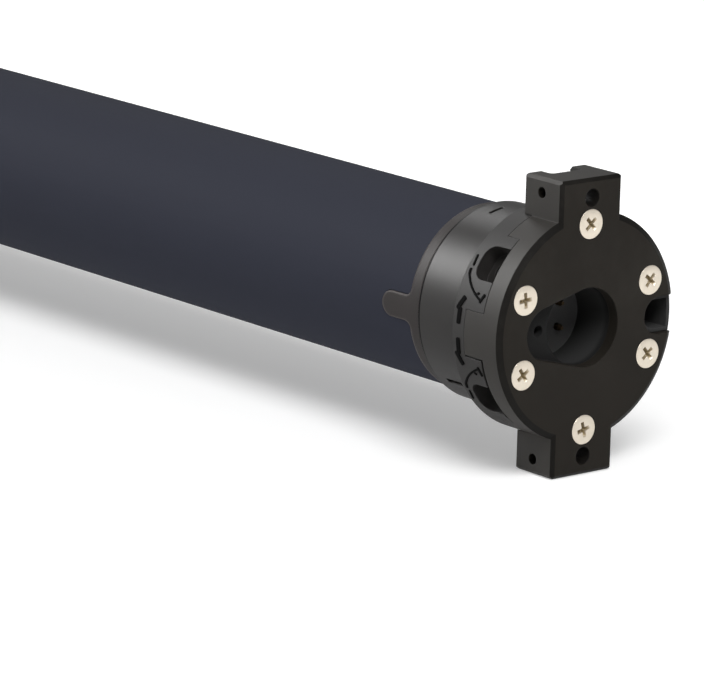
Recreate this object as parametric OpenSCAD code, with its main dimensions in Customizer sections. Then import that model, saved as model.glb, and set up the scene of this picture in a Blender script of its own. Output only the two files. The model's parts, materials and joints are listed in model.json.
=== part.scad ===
// Tubular roller blind motor with a round head, a rotating crown and a planetary gearbox.
// The motor axis is X. The face of the head lies at X = 0 and looks along +X, the tube runs towards -X.
// Places along the axis are depths behind the face. Angles turn from +Y towards +Z.

/* [Head] */
// Diameter of the head
head_d = 54.5; // [53:0.5:60]
// Depth of the head from its face to its rear edge
head_len = 16.6; // [15.6:0.2:20]
// Depth of the front cover at its rim
cover_rim = 6; // [5:0.2:7]
// Depth of the cover's rim beside the lugs
cover_cheek = 10; // [8.6:0.2:11]
// Half width of the deep part of the cover's rim
cheek_half_w = 16.4; // [14:0.2:18]
// Wall of the deep part of the cover's rim
cheek_wall = 2.2; // [1.6:0.1:2.6]
// Front wall of the cover, before the socket's flange
cover_wall = 3; // [2.4:0.1:3.6]
// Depth of the bevel round the face
bevel_depth = 0.9; // [0.4:0.1:1.4]
// Width of the bevel round the face
bevel_w = 1.4; // [0.6:0.1:2]
// Chamfer on both sides of a seam
seam_chamfer = 0.12; // [0.1:0.02:0.3]
// Chamfer on the rear edge of the head
head_chamfer = 0.6; // [0.3:0.1:0.8]

/* [Lugs] */
// Width of a mounting lug
lug_w = 18.8; // [16:0.2:22]
// Height over both lugs
lug_span = 70.4; // [68:0.4:80]
// Depth of a lug
lug_depth = 13.3; // [12.4:0.1:15]
// Chamfer on the lug's edges
lug_chamfer = 0.8; // [0.3:0.1:1.2]
// Width of the slot in the back of a lug
lug_slot_w = 9.7; // [8:0.1:11]
// Depth of the slot's floor behind the face
lug_slot_floor = 8.8; // [8.4:0.1:10]
// Corner radius of the slot
lug_slot_r = 1.2; // [0.5:0.1:2]
// Bracket hole diameter
bracket_hole_d = 4.2; // [3:0.1:5]
// Distance between the two bracket holes
bracket_hole_span = 61.2; // [60.4:0.2:63]
// Locking hole diameter, across the lug
lock_hole_d = 2.6; // [2:0.1:3]
// Depth of the locking hole behind the face
lock_hole_depth = 6.9; // [5:0.1:7]
// Distance between the two locking holes
lock_hole_span = 63.2; // [61:0.2:65]

/* [Socket] */
// Radius of the large lobe of the inlet recess
recess_r = 9.4; // [8.6:0.1:9.6]
// Radius of the small lobe
lobe_r = 6.4; // [5:0.1:6.8]
// Offset of the small lobe
lobe_y = 12.1; // [11:0.1:12.6]
// Wall of the socket round the recess
socket_wall = 1.4; // [1:0.1:1.6]
// Depth of the ledge in the small lobe
ledge_depth = 3.5; // [3.2:0.1:4.5]
// Hole for the plug's screw
plug_hole_d = 2.6; // [2:0.1:3]
// Depth of the pins' floor
socket_floor = 14; // [12:0.2:14.6]
// Thickness of the pins' floor
socket_floor_t = 2; // [1.5:0.1:2.4]
// Diameter of a contact pin
pin_d = 1.6; // [1.2:0.1:2]
// Circle of the contact pins
pin_circle_r = 4.2; // [3.4:0.1:5]
// How far the pins stand out of their floor
pin_reach = 2; // [1:0.5:8]
// How far the pins stand out behind the floor
pin_tail = 3; // [2:0.5:4]
// Half width of the outlet notch at the rim
outlet_half_w = 4.5; // [3.5:0.1:5]
// Distance from the rim to the centre of the notch's round end
outlet_inset = 4.95; // [3.8:0.05:5.6]
// Depth of the rubber in the notch
grommet_depth = 1.5; // [1:0.1:3]
// Wall of the rubber round its opening
grommet_wall = 0.9; // [0.7:0.1:1.2]
// Floor of the rubber behind its opening
grommet_floor = 1.2; // [1:0.1:2]

/* [Cover screws] */
// Screw head diameter
screw_head_d = 7.1; // [6:0.1:7.6]
// Depth of the countersunk head
screw_head_h = 2.1; // [1.6:0.1:2.6]
// Screw shank diameter
screw_d = 3; // [2.5:0.1:3.2]
// Length of a screw
screw_len = 13; // [10:0.5:14]
// Width of the cross recess
cross_w = 0.9; // [0.6:0.1:1.2]
// Bevel at the tip of a screw
screw_tip = 0.5; // [0.2:0.1:0.8]
// Height of the upper and lower screws above the axis
top_screw_z = 24.4; // [24:0.1:24.8]
// Offset of the side screws
side_screw_y = 19.3; // [19:0.1:19.6]
// Height of the side screws
side_screw_z = 8.8; // [8.4:0.1:9]

/* [Limit adjusters] */
// Angle of the adjusters above and below the side of the head
adjuster_angle = 36.4; // [35:0.2:39]
// Width of an adjuster window
window_w = 8.9; // [6:0.1:9.2]
// Depth of a window along the axis
window_len = 7; // [6:0.1:7.6]
// Corner radius of a window
window_corner = 3; // [1:0.1:3]
// Depth of a window's floor below the side of the head
window_depth = 4.35; // [3.2:0.05:4.6]
// Diameter of an adjuster
adjuster_d = 3.8; // [3:0.1:4]
// Length of an adjuster
adjuster_len = 8; // [6:0.5:9]
// Hexagon socket of an adjuster, across corners
adjuster_hex = 2.3; // [1.6:0.1:2.4]

// Half the angle of the cover's tab between the windows
tab_angle = 11.3; // [10:0.1:14]
// Depth of the tab's end behind the face
tab_end = 12; // [10:0.5:13]
// Angle below the side of the head where the open joint along the seam ends
joint_end_angle = 48.5; // [47.5:0.5:50]
// Width and depth of the open joint under the tab and along the seam
joint_w = 0.5; // [0.3:0.1:0.8]

/* [Crown and collar] */
// Crown diameter
crown_d = 47.8; // [47.4:0.1:50]
// Width of the crown
crown_len = 15.8; // [14:0.2:20]
// Wall of the crown outside its bearing
crown_wall = 3.85; // [3.4:0.05:4.2]
// Width of the crown's inner teeth
crown_teeth_w = 6.7; // [5:0.1:7.5]
// Chamfer on the crown's edges
crown_chamfer = 0.4; // [0.2:0.1:0.8]
// Depth of the crown's small slots
crown_slot_depth = 1.2; // [0.6:0.1:1.6]
// Place of the cross slots behind the crown's front edge
cross_slot_at = 9.9; // [8:0.1:12]
// Width of a cross slot along the axis
cross_slot_w = 1; // [0.6:0.1:1.6]
// Length of a cross slot round the crown
cross_slot_len = 4.2; // [3:0.1:6]
// Angle of the first cross slot
cross_slot_angle = 102.4; // [90:0.2:110]
// Place of the key slots behind the crown's front edge
key_slot_at = 5.9; // [4:0.1:7]
// Length of a key slot along the axis
key_slot_len = 5.4; // [4:0.1:6]
// Width of a key slot round the crown
key_slot_w = 1.4; // [1:0.1:2]
// Angle of the first key slot
key_slot_angle = 222; // [200:1:240]
// Open gap between the crown and the collar
crown_gap = 0.7; // [0.4:0.1:0.9]
// Width of the collar's flange
flange_len = 3.5; // [3:0.1:6]
// How far the collar's flange and tongue stand out over the tube
collar_proud = 0.25; // [0.1:0.05:0.4]
// Diameter of the neck inside the crown's teeth
neck_d = 34; // [33:0.1:34.2]
// Bore of the neck for the leads
neck_bore_d = 15; // [13:0.5:15.5]
// Length of the collar's plug in the tube
plug_len = 15; // [14:0.5:25]
// Wall of the collar's plug
plug_wall = 3.6; // [2:0.1:4]
// Web of the collar
collar_web = 4.1; // [4:0.1:6]
// Width of the tongue that keys the collar to the tube
tongue_w = 6.2; // [5:0.1:8]
// Length of the tongue
tongue_len = 9.9; // [7:0.1:12]
// Fillet at the root of the tongue
tongue_fillet = 1.8; // [0.8:0.1:2.4]
// Circle of the collar's screws
collar_screw_r = 13.2; // [12.6:0.1:13.6]
// Length of a collar screw's shank
collar_screw_len = 12.8; // [9:0.2:13]
// Height of a collar screw's head
collar_head_h = 2; // [1.4:0.1:2.4]

/* [Tube] */
// Outer diameter of the motor tube
tube_d = 45; // [44.4:0.1:46]
// Wall of the motor tube
tube_wall = 1; // [0.8:0.1:1.4]
// Length of a tube screw's shank
tube_screw_len = 11.5; // [8:0.5:12]
// Diameter of a tube screw's head
tube_head_d = 5.4; // [4.6:0.1:6]
// Height of a tube screw's head
tube_head_h = 1.2; // [0.8:0.1:1.3]

/* [Limit unit] */
// Length of the limit unit
limit_len = 66; // [62:1:90]
// Plates of the limit unit
limit_plate = 3; // [2:0.2:4]
// Radius of the tie bars
tie_r = 1.8; // [1.4:0.1:2]
// Radius of an axle in the limit unit
axle_r = 1.5; // [1.2:0.1:1.6]
// Radius of a spindle's thread
thread_r = 2; // [1.8:0.1:2.2]
// Width of the limit unit's gears
limit_gear_w = 5; // [4:0.2:6]
// Length of a travelling nut
nut_len = 6; // [4:0.5:8]
// Travel of a nut to each side
nut_travel = 14.7; // [10:0.1:15]
// Radius of a nut
nut_r = 4; // [3.4:0.1:4.4]
// Wall of a nut round its tie bar
nut_wall = 1; // [0.8:0.1:1.2]
// Width of a limit switch
switch_w = 6.5; // [5:0.1:6.6]
// Height of a limit switch
switch_h = 6; // [5:0.5:7]
// Thickness of a switch lever
lever_t = 0.4; // [0.3:0.1:0.8]

/* [Board and capacitor] */
// Length of the board carrier
board_len = 86; // [80:1:120]
// End discs of the board carrier
board_disc = 2.5; // [2:0.1:4]
// Width of the control board
board_w = 36; // [32:0.5:37]
// Thickness of the control board
board_t = 1.6; // [1.2:0.1:2]
// Height of the control board's lower face
board_z = -6; // [-8:0.5:-5]
// Lip of a board rail over the board's edge
rail_lip = 1.5; // [1:0.1:1.8]
// Height of a rail above and below the board
rail_h = 3; // [2:0.5:3.5]
// Length of the terminal block
terminal_len = 9; // [7:0.5:11]
// Height of the terminal block
terminal_h = 9.4; // [8:0.2:12]
// Length of a relay
relay_len = 19; // [15:0.5:20]
// Width of a relay
relay_w = 15.5; // [12:0.5:15.5]
// Height of a relay
relay_h = 15; // [10:0.5:16]
// Length of the radio module
radio_len = 24; // [18:1:25]
// Length of the radio module's shield can
radio_can_len = 15; // [12:1:16]
// Height of the radio module's shield can
radio_can_h = 2.4; // [2:0.2:4]
// Length of the board's transformer
transformer_len = 20; // [16:1:24]
// Height of the board's transformer
transformer_h = 15; // [12:0.5:16]
// Diameter of the run capacitor
capacitor_d = 30; // [25:1:31]
// Length of the run capacitor
capacitor_len = 56; // [45:1:80]
// Length of the space for the capacitor
capacitor_bay = 62; // [60:1:100]
// Width of a capacitor ring
capacitor_ring_w = 6; // [4:0.5:10]

/* [Motor] */
// Length of the stator stack
stator_len = 54; // [40:1:90]
// Length of a winding's end turns
end_turn_len = 11; // [8:0.5:14]
// End plate of a motor shield
shield_plate = 6; // [5.5:0.5:8]
// Wall of a motor shield and of the brake housing
shield_wall = 1.6; // [1.2:0.1:1.8]
// Bore of the stator
stator_bore_d = 22.4; // [20:0.2:24]
// Air gap between rotor and stator
air_gap = 0.4; // [0.3:0.05:0.6]
// Number of stator slots
slot_count = 12; // [8:1:14]
// Depth of a stator slot
slot_depth = 5.4; // [4:0.2:6]
// Width of a stator slot
slot_w = 3; // [2:0.1:3.2]
// Height of a stator tooth's tip below its slot
tooth_tip = 1.2; // [1:0.1:1.4]
// Length of the rotor's end rings
end_ring_len = 4; // [3:0.5:6]
// Diameter of the rotor shaft
shaft_d = 8; // [7:0.5:8]
// Outer diameter of a ball bearing
bearing_d = 16; // [15.5:0.5:18]
// Width of a ball bearing
bearing_w = 5; // [4:0.5:5]
// Balls in a bearing
ball_count = 9; // [7:1:9]

/* [Brake] */
// Length of the brake
brake_len = 30; // [29:1:40]
// Length of the brake magnet
magnet_len = 13; // [10:0.5:14]
// Travel of the brake armature
brake_travel = 0.5; // [0.3:0.1:0.8]
// Thickness of the armature
armature_t = 3.5; // [2.5:0.1:4]
// Thickness of the brake disc
disc_t = 4; // [3:0.1:4.5]
// Turns of the brake spring
spring_turns = 6; // [4:1:7]
// Wire of the brake spring
spring_wire = 1; // [0.8:0.1:1.1]
// Depth of the spring's seat in the magnet
spring_seat = 3; // [2:0.5:4]
// Inner pole of the brake magnet
pole_in_w = 2.5; // [2:0.1:3]
// Outer pole of the brake magnet
pole_out_w = 3.5; // [2.5:0.1:4]
// Thickness of the fixed friction ring
friction_t = 3; // [2:0.5:4]

/* [Gearbox] */
// Module of all the gears
gear_m = 0.6; // [0.6:0.01:0.61]
// Width of a planet
planet_w = 8; // [6:0.5:12]
// Thickness of a carrier
carrier_t = 3; // [2:0.2:5]
// Diameter of the planets' pins
planet_pin_d = 3.2; // [2.4:0.1:4]
// Rim of a carrier outside its pins
carrier_rim = 2; // [1.4:0.1:2.6]
// Thickness of the plate before the first stage
gear_plate = 3; // [2:0.5:4]
// Length of the housing's end wall and its bush
end_wall = 8; // [7:0.5:14]
// Bush outer diameter
bush_d = 16; // [15:0.5:20]
// Diameter of the output shaft
output_d = 12; // [10:0.5:12]
// Size of the output shaft over its flat
output_flat = 10.5; // [9.6:0.1:11]
// Length of the flat, from the end of the shaft
output_flat_len = 9; // [6:0.5:10]
// Length of the free end of the output shaft
output_len = 24; // [18:1:40]
// Length of the end cap's plug
cap_plug = 9.8; // [8:0.2:16]
// Thickness of the end cap's flange
cap_flange = 2; // [1.5:0.1:3]
// Radius of the pockets in the end cap's plug
cap_pocket_r = 3.5; // [2.5:0.1:4.5]
// Chamfer at the end of the output shaft
output_chamfer = 1; // [0.5:0.1:1.5]
// Thickness of the retaining ring
circlip_t = 1; // [0.8:0.1:1.5]
// Depth of the retaining ring's groove
circlip_groove = 0.6; // [0.4:0.1:0.8]
// Rim of the retaining ring outside the shaft
circlip_rim = 2; // [1.2:0.1:2.5]

/* [Hidden] */
$fn = 72;
// Clearances: fixed seats, turning shafts, parts of different bodies side by side, and stacked units
seat_gap = 0.1;
turn_gap = 0.05;
side_gap = 0.3;
stack_gap = 0.2;
// How far a cutter reaches past the face it opens, and how far a side lies inside a tangent
past = 1;
tangent_gap = 0.03;

head_r = head_d / 2;
outlet_y = head_r - outlet_inset;
window_floor_r = head_r - window_depth;
crown_bore_r = crown_d / 2 - crown_wall;
tube_r = tube_d / 2;
tube_bore_r = tube_r - tube_wall;
unit_r = tube_bore_r - seat_gap;
lug_half = lug_span / 2;
adjuster_angles = [180 - adjuster_angle, 180 + adjuster_angle];
window_mid = cover_rim + window_len / 2;
screw_points = [
    [0, top_screw_z], [0, -top_screw_z],
    for (y = [-1, 1], z = [-1, 1]) [y * side_screw_y, z * side_screw_z]
];
flange_r = recess_r + socket_wall;
socket_end = socket_floor + socket_floor_t;
pin_angles = [45, 135, 225, 315];
cross_half = 0.3 * screw_head_d;
cross_depth = 0.6 * screw_head_h;
collar_screw_angles = [70, 180, 290];
tube_screw_angles = [45, 135, 225, 315];
tie_circle_r = unit_r - tie_r - nut_wall - side_gap;
tie_angles = [30, 150, 210, 330];

// Gear sizes: a pinion, the crown's inner teeth, the spindles' gears and three equal planetary stages
pressure = 20;
backlash = 0.1;
addendum = 0.8 * gear_m;
dedendum = 1.2 * gear_m;
crown_teeth = 60;
pinion_teeth = 15;
spindle_teeth = 24;
sun_teeth = 12;
planet_teeth = 24;
ring_teeth = 60;
pinion_y = gear_m * (crown_teeth - pinion_teeth) / 2;
pinion_r = gear_m * pinion_teeth / 2 + addendum;
spindle_reach = gear_m * (pinion_teeth + spindle_teeth) / 2;
spindle_bearing = 135.5;
spindle_y = pinion_y + spindle_reach * cos(spindle_bearing);
spindle_z = spindle_reach * sin(spindle_bearing);
planet_circle_r = gear_m * (sun_teeth + planet_teeth) / 2;
planet_angles = [0, 120, 240];
carrier_r = planet_circle_r + planet_pin_d / 2 + carrier_rim;
sun_root_r = gear_m * sun_teeth / 2 - dedendum;
crown_core_r = gear_m * crown_teeth / 2 - dedendum - past;

// Depths of the units along the axis
crown_at = head_len + side_gap;
crown_end = crown_at + crown_len;
crown_teeth_at = crown_end - crown_teeth_w;
land_end = crown_teeth_at - side_gap;
flange_at = crown_end + crown_gap;
tube_at = flange_at + flange_len;
web_end = flange_at + collar_web;
collar_r = tube_r + collar_proud;
plug_end = tube_at + plug_len;
limit_at = plug_end + stack_gap;
limit_end = limit_at + limit_len;
limit_gear_gap = 1.2;
limit_gear_at = limit_at + limit_plate + limit_gear_gap;
thread_shoulder = 1;
thread_at = limit_gear_at + limit_gear_w + thread_shoulder;
thread_end = limit_end - limit_plate - 3 * thread_shoulder;
nut_mid = (thread_at + thread_end) / 2;
board_at = limit_end + stack_gap;
board_end = board_at + board_len;
board_top = board_z + board_t;
capacitor_at = board_end + stack_gap;
capacitor_end = capacitor_at + capacitor_bay;
motor_at = capacitor_end + stack_gap;
end_turn_gap = 1;
end_turn_at = motor_at + shield_plate + end_turn_gap;
stator_at = end_turn_at + end_turn_len;
stator_end = stator_at + stator_len;
motor_end = stator_end + stator_at - motor_at;
brake_at = motor_end + stack_gap;
magnet_front = 1;
magnet_at = brake_at + magnet_front;
magnet_end = magnet_at + magnet_len;
armature_at = magnet_end + brake_travel + stack_gap;
disc_at = armature_at + armature_t + stack_gap;
friction_at = disc_at + disc_t + side_gap;
brake_end = brake_at + brake_len;
gear_at = brake_end + stack_gap;
housing_at = gear_at + gear_plate + stack_gap;
stage_gap = 0.5;
stage_len = planet_w + carrier_t + 2 * stage_gap;
stage_at = [for (i = [0 : 2]) housing_at + 2 * stage_gap + i * stage_len];
output_disc_at = stage_at[2] + planet_w + stage_gap;
output_disc_t = carrier_t + 1;
wall_at = output_disc_at + output_disc_t + stage_gap;
housing_end = wall_at + end_wall;
cap_at = housing_end + stack_gap;
tube_end = cap_at + cap_plug;
cap_end = tube_end + cap_flange;
circlip_at = cap_end + side_gap;
output_end = cap_end + output_len;
tube_screw_at = wall_at + end_wall / 2;

// Lead routes: from the socket's pins down to a lower bundle, and from the board over the capacitor
lead_r = 0.75;
lead_sides = 10;
pin_end = socket_end + pin_tail;
lead_hole_r = 4.2;
lead_hole_y = -10;
lead_ends = [[-8.5, 1.5], [-11.5, 2.6], [-11.5, -2.6], [-8.5, -1.5]];
lead_start_at = web_end + 2 * lead_r;
lead_turn_at = plug_end - 2 * lead_r;
motor_lead_z = (capacitor_d / 2 + tube_bore_r) / 2;
motor_lead_pitch = 2.2;
motor_lead_ys = [for (place = [-1, 0, 1]) place * motor_lead_pitch];
motor_lead_lap = 16;
motor_lead_from = board_end - motor_lead_lap;
motor_lead_bend = 2;
motor_lead_turn = board_end + motor_lead_bend;
motor_lead_rise = 2;
motor_lead_hole_r = 5;
motor_lead_hole_drop = 4.2;
motor_lead_hole_z = motor_lead_z - motor_lead_hole_drop;

// Places on the control board, from its front end, and half the room between its rails
board_part_half = board_w / 2 - rail_lip - side_gap;
board_part_gap = 3;
terminal_inset = 4;
terminal_at = board_at + board_disc + terminal_inset;
terminal_half_w = 5;
terminal_well_r = 1.1;
terminal_top = board_top + terminal_h;
relay_gap = 0.8;
relay_inset = 5;
relay_at = terminal_at + terminal_len + relay_inset;
radio_at = relay_at + relay_len + board_part_gap;
radio_inner_y = 2;
radio_board_t = 0.8;
radio_can_inset = 1;
transformer_inner_y = -1;
transformer_inset = 2;
transformer_base_t = 3;
transformer_top_t = 2;

// Run capacitor and switches
capacitor_r = capacitor_d / 2;
capacitor_mid = (capacitor_at + capacitor_end) / 2;
can_edge = 1;
can_rim = 1.5;
switch_y = -9.5;
switch_z = 5;
lever_inset = 1;
lever_tip_y = spindle_y - thread_r - side_gap;

// Radii in the motor and the brake
stator_bore_r = stator_bore_d / 2;
rotor_r = stator_bore_r - air_gap;
slot_inner_r = stator_bore_r + tooth_tip;
slot_root_r = slot_inner_r + slot_depth;
turn_chamfer = 1.5;
end_ring_step = 1.5;
end_ring_wall = 2;
shaft_shoulder = 1;
brake_bore_r = unit_r - shield_wall;
spring_r = shaft_d / 2 + 2;
magnet_bore_r = spring_r + spring_wire / 2 + side_gap;
coil_in_r = magnet_bore_r + pole_in_w;
coil_out_r = brake_bore_r - pole_out_w;
spring_from = magnet_at + spring_seat + spring_wire / 2 + seat_gap;
spring_to = armature_at - spring_wire / 2 - seat_gap;
spring_sides = 6;
spring_steps = 16;
disc_margin = 2;
disc_hole_r = 2;
cap_pocket_circle_r = (unit_r + output_d / 2) / 2;

// Stands a shape at a depth: its own x, y and z run along Y, Z and +X
module station(depth) translate([-depth, 0, 0]) rotate([90, 0, 90]) children();

// Solid of revolution about the axis between two depths
module disc(from, to, r) station(to) cylinder(r = r, h = to - from);

// Round bar parallel to the axis at a place across it
module bar(from, to, r, y, z) translate([0, y, z]) disc(from, to, r);

// Flat outline in Y and Z, given thickness between two depths
module slab(from, to) station(to) linear_extrude(to - from) children();

module ring(from, to, r_out, r_in) difference() {
    disc(from, to, r_out);
    disc(from - past, to + past, r_in);
}

// Outline in X and the tangent, pushed outwards along a radius
module radial(angle, from, to)
    rotate([angle, 0, 0]) translate([0, from, 0]) rotate([-90, 0, 0]) linear_extrude(to - from) children();

module radial_bar(angle, depth, from, to, r)
    rotate([angle, 0, 0]) translate([-depth, from, 0]) rotate([-90, 0, 0]) cylinder(r = r, h = to - from);

// Box from two corners given as depth, Y and Z
module block(low, high)
    translate([-high[0], low[1], low[2]]) cube([high[0] - low[0], high[1] - low[1], high[2] - low[2]]);

// Insulated lead along points given as depth, Y and Z: one tube with a mitre at each bend
function unit(v) = v / norm(v);
function place(p) = [-p[0], p[1], p[2]];
function lead_ring(points, i) =
    let (last = len(points) - 1,
         into = unit(points[max(i, 1)] - points[max(i - 1, 0)]),
         out = unit(points[min(i + 1, last)] - points[min(i, last - 1)]),
         along = unit(place(into + out)), side = unit(cross(along, [0, 1, 0])), top = cross(side, along))
    [for (k = [0 : lead_sides - 1]) let (a = 360 * k / lead_sides)
        place(points[i]) + lead_r * (cos(a) * side + sin(a) * top)];
module lead(points) {
    last = len(points) - 1;
    rings = [for (i = [0 : last]) each lead_ring(points, i)];
    walls = [for (i = [0 : last - 1], k = [0 : lead_sides - 1])
        let (a = i * lead_sides + k, b = i * lead_sides + (k + 1) % lead_sides)
        each [[a, b, b + lead_sides], [a, b + lead_sides, a + lead_sides]]];
    near_end = [for (k = [1 : lead_sides - 2]) [0, k + 1, k]];
    from = last * lead_sides;
    far_end = [for (k = [1 : lead_sides - 2]) [from, from + k, from + k + 1]];
    polyhedron(rings, concat(walls, near_end, far_end));
}

// Involute gear outline
function involute(a) = tan(a) * 180 / PI - a;
function half_tooth(teeth, r, thin) =
    let (pitch_r = gear_m * teeth / 2, base_r = pitch_r * cos(pressure))
    90 / teeth - thin / 2 / pitch_r * 180 / PI + involute(pressure)
        - involute(acos(min(1, base_r / max(r, base_r))));
function polar(r, a) = [r * cos(a), r * sin(a)];
function gear_outline(teeth, low_r, high_r, thin) =
    let (radii = [for (k = [0 : 3]) low_r + (high_r - low_r) * k / 3])
    [for (i = [0 : teeth - 1], side = [-1, 1], k = [0 : 3])
        let (r = radii[side < 0 ? k : 3 - k])
        polar(r, i * 360 / teeth + side * half_tooth(teeth, r, thin))];

// Turn of a gear that lies at a bearing from another one, which has a tooth at angle 0
function mesh_turn(bearing, teeth_from, teeth_to) =
    bearing + 180 + bearing * teeth_from / teeth_to + 180 / teeth_to;

module gear(from, to, teeth, turn) {
    pitch_r = gear_m * teeth / 2;
    slab(from, to) rotate(turn)
        polygon(gear_outline(teeth, pitch_r - dedendum, pitch_r + addendum, backlash));
}

// Hollow cut by the spaces of an inner gear, with one space at the given angle
module inner_gear_cut(from, to, teeth, turn) {
    pitch_r = gear_m * teeth / 2;
    slab(from, to) rotate(turn)
        polygon(gear_outline(teeth, pitch_r - addendum, pitch_r + dedendum, -backlash));
}

// Pear outline: two circles and the sides that run from one to the other, a hair inside both tangents
module pear(big_r, small_r, offset_y) {
    lean = acos((big_r - small_r) / offset_y);
    big = big_r - tangent_gap;
    small = small_r - tangent_gap;
    circle(big_r);
    translate([-offset_y, 0]) circle(small_r);
    polygon([
        polar(big, 180 - lean), polar(small, 180 - lean) - [offset_y, 0],
        polar(small, 180 + lean) - [offset_y, 0], polar(big, 180 + lean)
    ]);
}

// Notch open towards +Y with a round inner end
module outlet_outline(gap) {
    translate([outlet_y, 0]) circle(outlet_half_w - gap);
    translate([outlet_y, gap - outlet_half_w]) square([head_r, 2 * (outlet_half_w - gap)]);
}

// Mounting lug above the head, bevelled on every outer edge
module lug() {
    low = top_screw_z - screw_head_d / 2;
    across = lug_w / 2;
    c = lug_chamfer;
    difference() {
        intersection() {
            slab(0, lug_depth) polygon([
                [-across, low], [across, low], [across, lug_half - c], [across - c, lug_half],
                [c - across, lug_half], [-across, lug_half - c]
            ]);
            rotate([90, 0, 0]) linear_extrude(lug_w + past, center = true) polygon([
                [0, low], [0, lug_half - c], [-c, lug_half], [c - lug_depth, lug_half],
                [-lug_depth, lug_half - c], [-lug_depth, low]
            ]);
            linear_extrude(lug_half + past) polygon([
                [0, c - across], [0, across - c], [-c, across], [c - lug_depth, across],
                [-lug_depth, across - c], [-lug_depth, c - across], [c - lug_depth, -across], [-c, -across]
            ]);
        }
        disc(cover_cheek, lug_depth + past, head_r + seat_gap);
        disc(cover_rim, lug_depth + past, head_r - cheek_wall);
        lug_slot();
        translate([0, 0, bracket_hole_span / 2]) disc(-past, lug_depth + past, bracket_hole_d / 2);
        translate([-lock_hole_depth, 0, lock_hole_span / 2])
            rotate([90, 0, 0]) cylinder(d = lock_hole_d, h = lug_w + 2 * past, center = true);
    }
}

// Slot in the back of the lug, open at its end, with two round corners
module lug_slot() {
    from = lug_slot_floor;
    half = lug_slot_w / 2;
    translate([0, 0, head_r]) linear_extrude(lug_half - head_r + past) union() {
        translate([-lug_depth - past, -half]) square([lug_depth + past - from - lug_slot_r, lug_slot_w]);
        translate([-lug_depth - past, lug_slot_r - half])
            square([lug_depth + past - from, lug_slot_w - 2 * lug_slot_r]);
        for (side = [-1, 1])
            translate([-from - lug_slot_r, side * (half - lug_slot_r)]) circle(lug_slot_r);
    }
}

module front_cover() color("#2a2624") difference() {
    union() {
        station(cover_rim) rotate_extrude() polygon([
            [0, 0], [head_r - seam_chamfer, 0], [head_r, seam_chamfer], [head_r, cover_rim - bevel_depth],
            [head_r - bevel_w, cover_rim], [0, cover_rim]
        ]);
        intersection() {
            ring(cover_rim - past, cover_cheek, head_r, head_r - cheek_wall);
            block([0, -cheek_half_w, -head_d], [cover_cheek, cheek_half_w, head_d]);
        }
        cover_tab(0, head_r);
        for (turn = [0, 180]) rotate([turn, 0, 0]) lug();
    }
    slab(-past, cover_rim + past) pear(recess_r, lobe_r, lobe_y);
    slab(cover_wall, cover_rim + past) pear(flange_r + seat_gap, lobe_r + socket_wall + seat_gap, lobe_y);
    slab(-past, cover_rim + past) outlet_outline(0);
    for (p = screw_points) translate([0, p[0], p[1]]) {
        disc(-past, cover_cheek + past, screw_d / 2 + seat_gap);
        station(screw_head_h) cylinder(r1 = screw_d / 2 + seat_gap, r2 = screw_head_d / 2 + seat_gap,
                                       h = screw_head_h);
    }
}

// Countersunk screw pointing away from the face, with a cross recess
module cross_screw(length) difference() {
    station(length) rotate_extrude() polygon([
        [0, 0], [screw_d / 2 - screw_tip, 0], [screw_d / 2, 2 * screw_tip],
        [screw_d / 2, length - screw_head_h], [screw_head_d / 2, length], [0, length]
    ]);
    for (turn = [45, 135]) rotate([turn, 0, 0])
        block([-past, -cross_half, -cross_w / 2], [cross_depth, cross_half, cross_w / 2]);
}

module cover_screws() color("#ebe1d7")
    for (p = screw_points) translate([0, p[0], p[1]]) cross_screw(screw_len);

// Window outline: square at the cover's seam, round at its rear corners
module window_outline() {
    half = window_w / 2;
    rear = cover_rim + window_len;
    translate([window_corner - rear, -half]) square([window_len - window_corner + past, window_w]);
    translate([-rear, window_corner - half]) square([window_len, window_w - 2 * window_corner]);
    for (side = [-1, 1])
        translate([window_corner - rear, side * (half - window_corner)]) circle(window_corner);
}

// Tab of the cover between the windows: a wall of the head's own radius, grown by a gap for its pocket
module cover_tab(gap, radius) intersection() {
    ring(cover_rim - past, tab_end + gap, radius, head_r - cheek_wall - gap);
    slab(0, head_len) translate([gap / sin(tab_angle), 0])
        polygon([[0, 0], for (side = [1, -1]) head_d * [-cos(tab_angle), side * sin(tab_angle)]]);
}

// Open joint under the tab and along the lower part of the cover's seam
module open_joint() {
    radial(180 + tab_angle, head_r - joint_w, head_d)
        translate([-tab_end, -joint_w]) square([tab_end - cover_rim + past, joint_w]);
    difference() {
        slab(cover_rim - past, cover_rim + joint_w)
            polygon([[0, 0], for (a = [tab_angle, joint_end_angle]) -head_d * [cos(a), sin(a)]]);
        disc(0, head_len, head_r - joint_w);
    }
}

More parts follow.
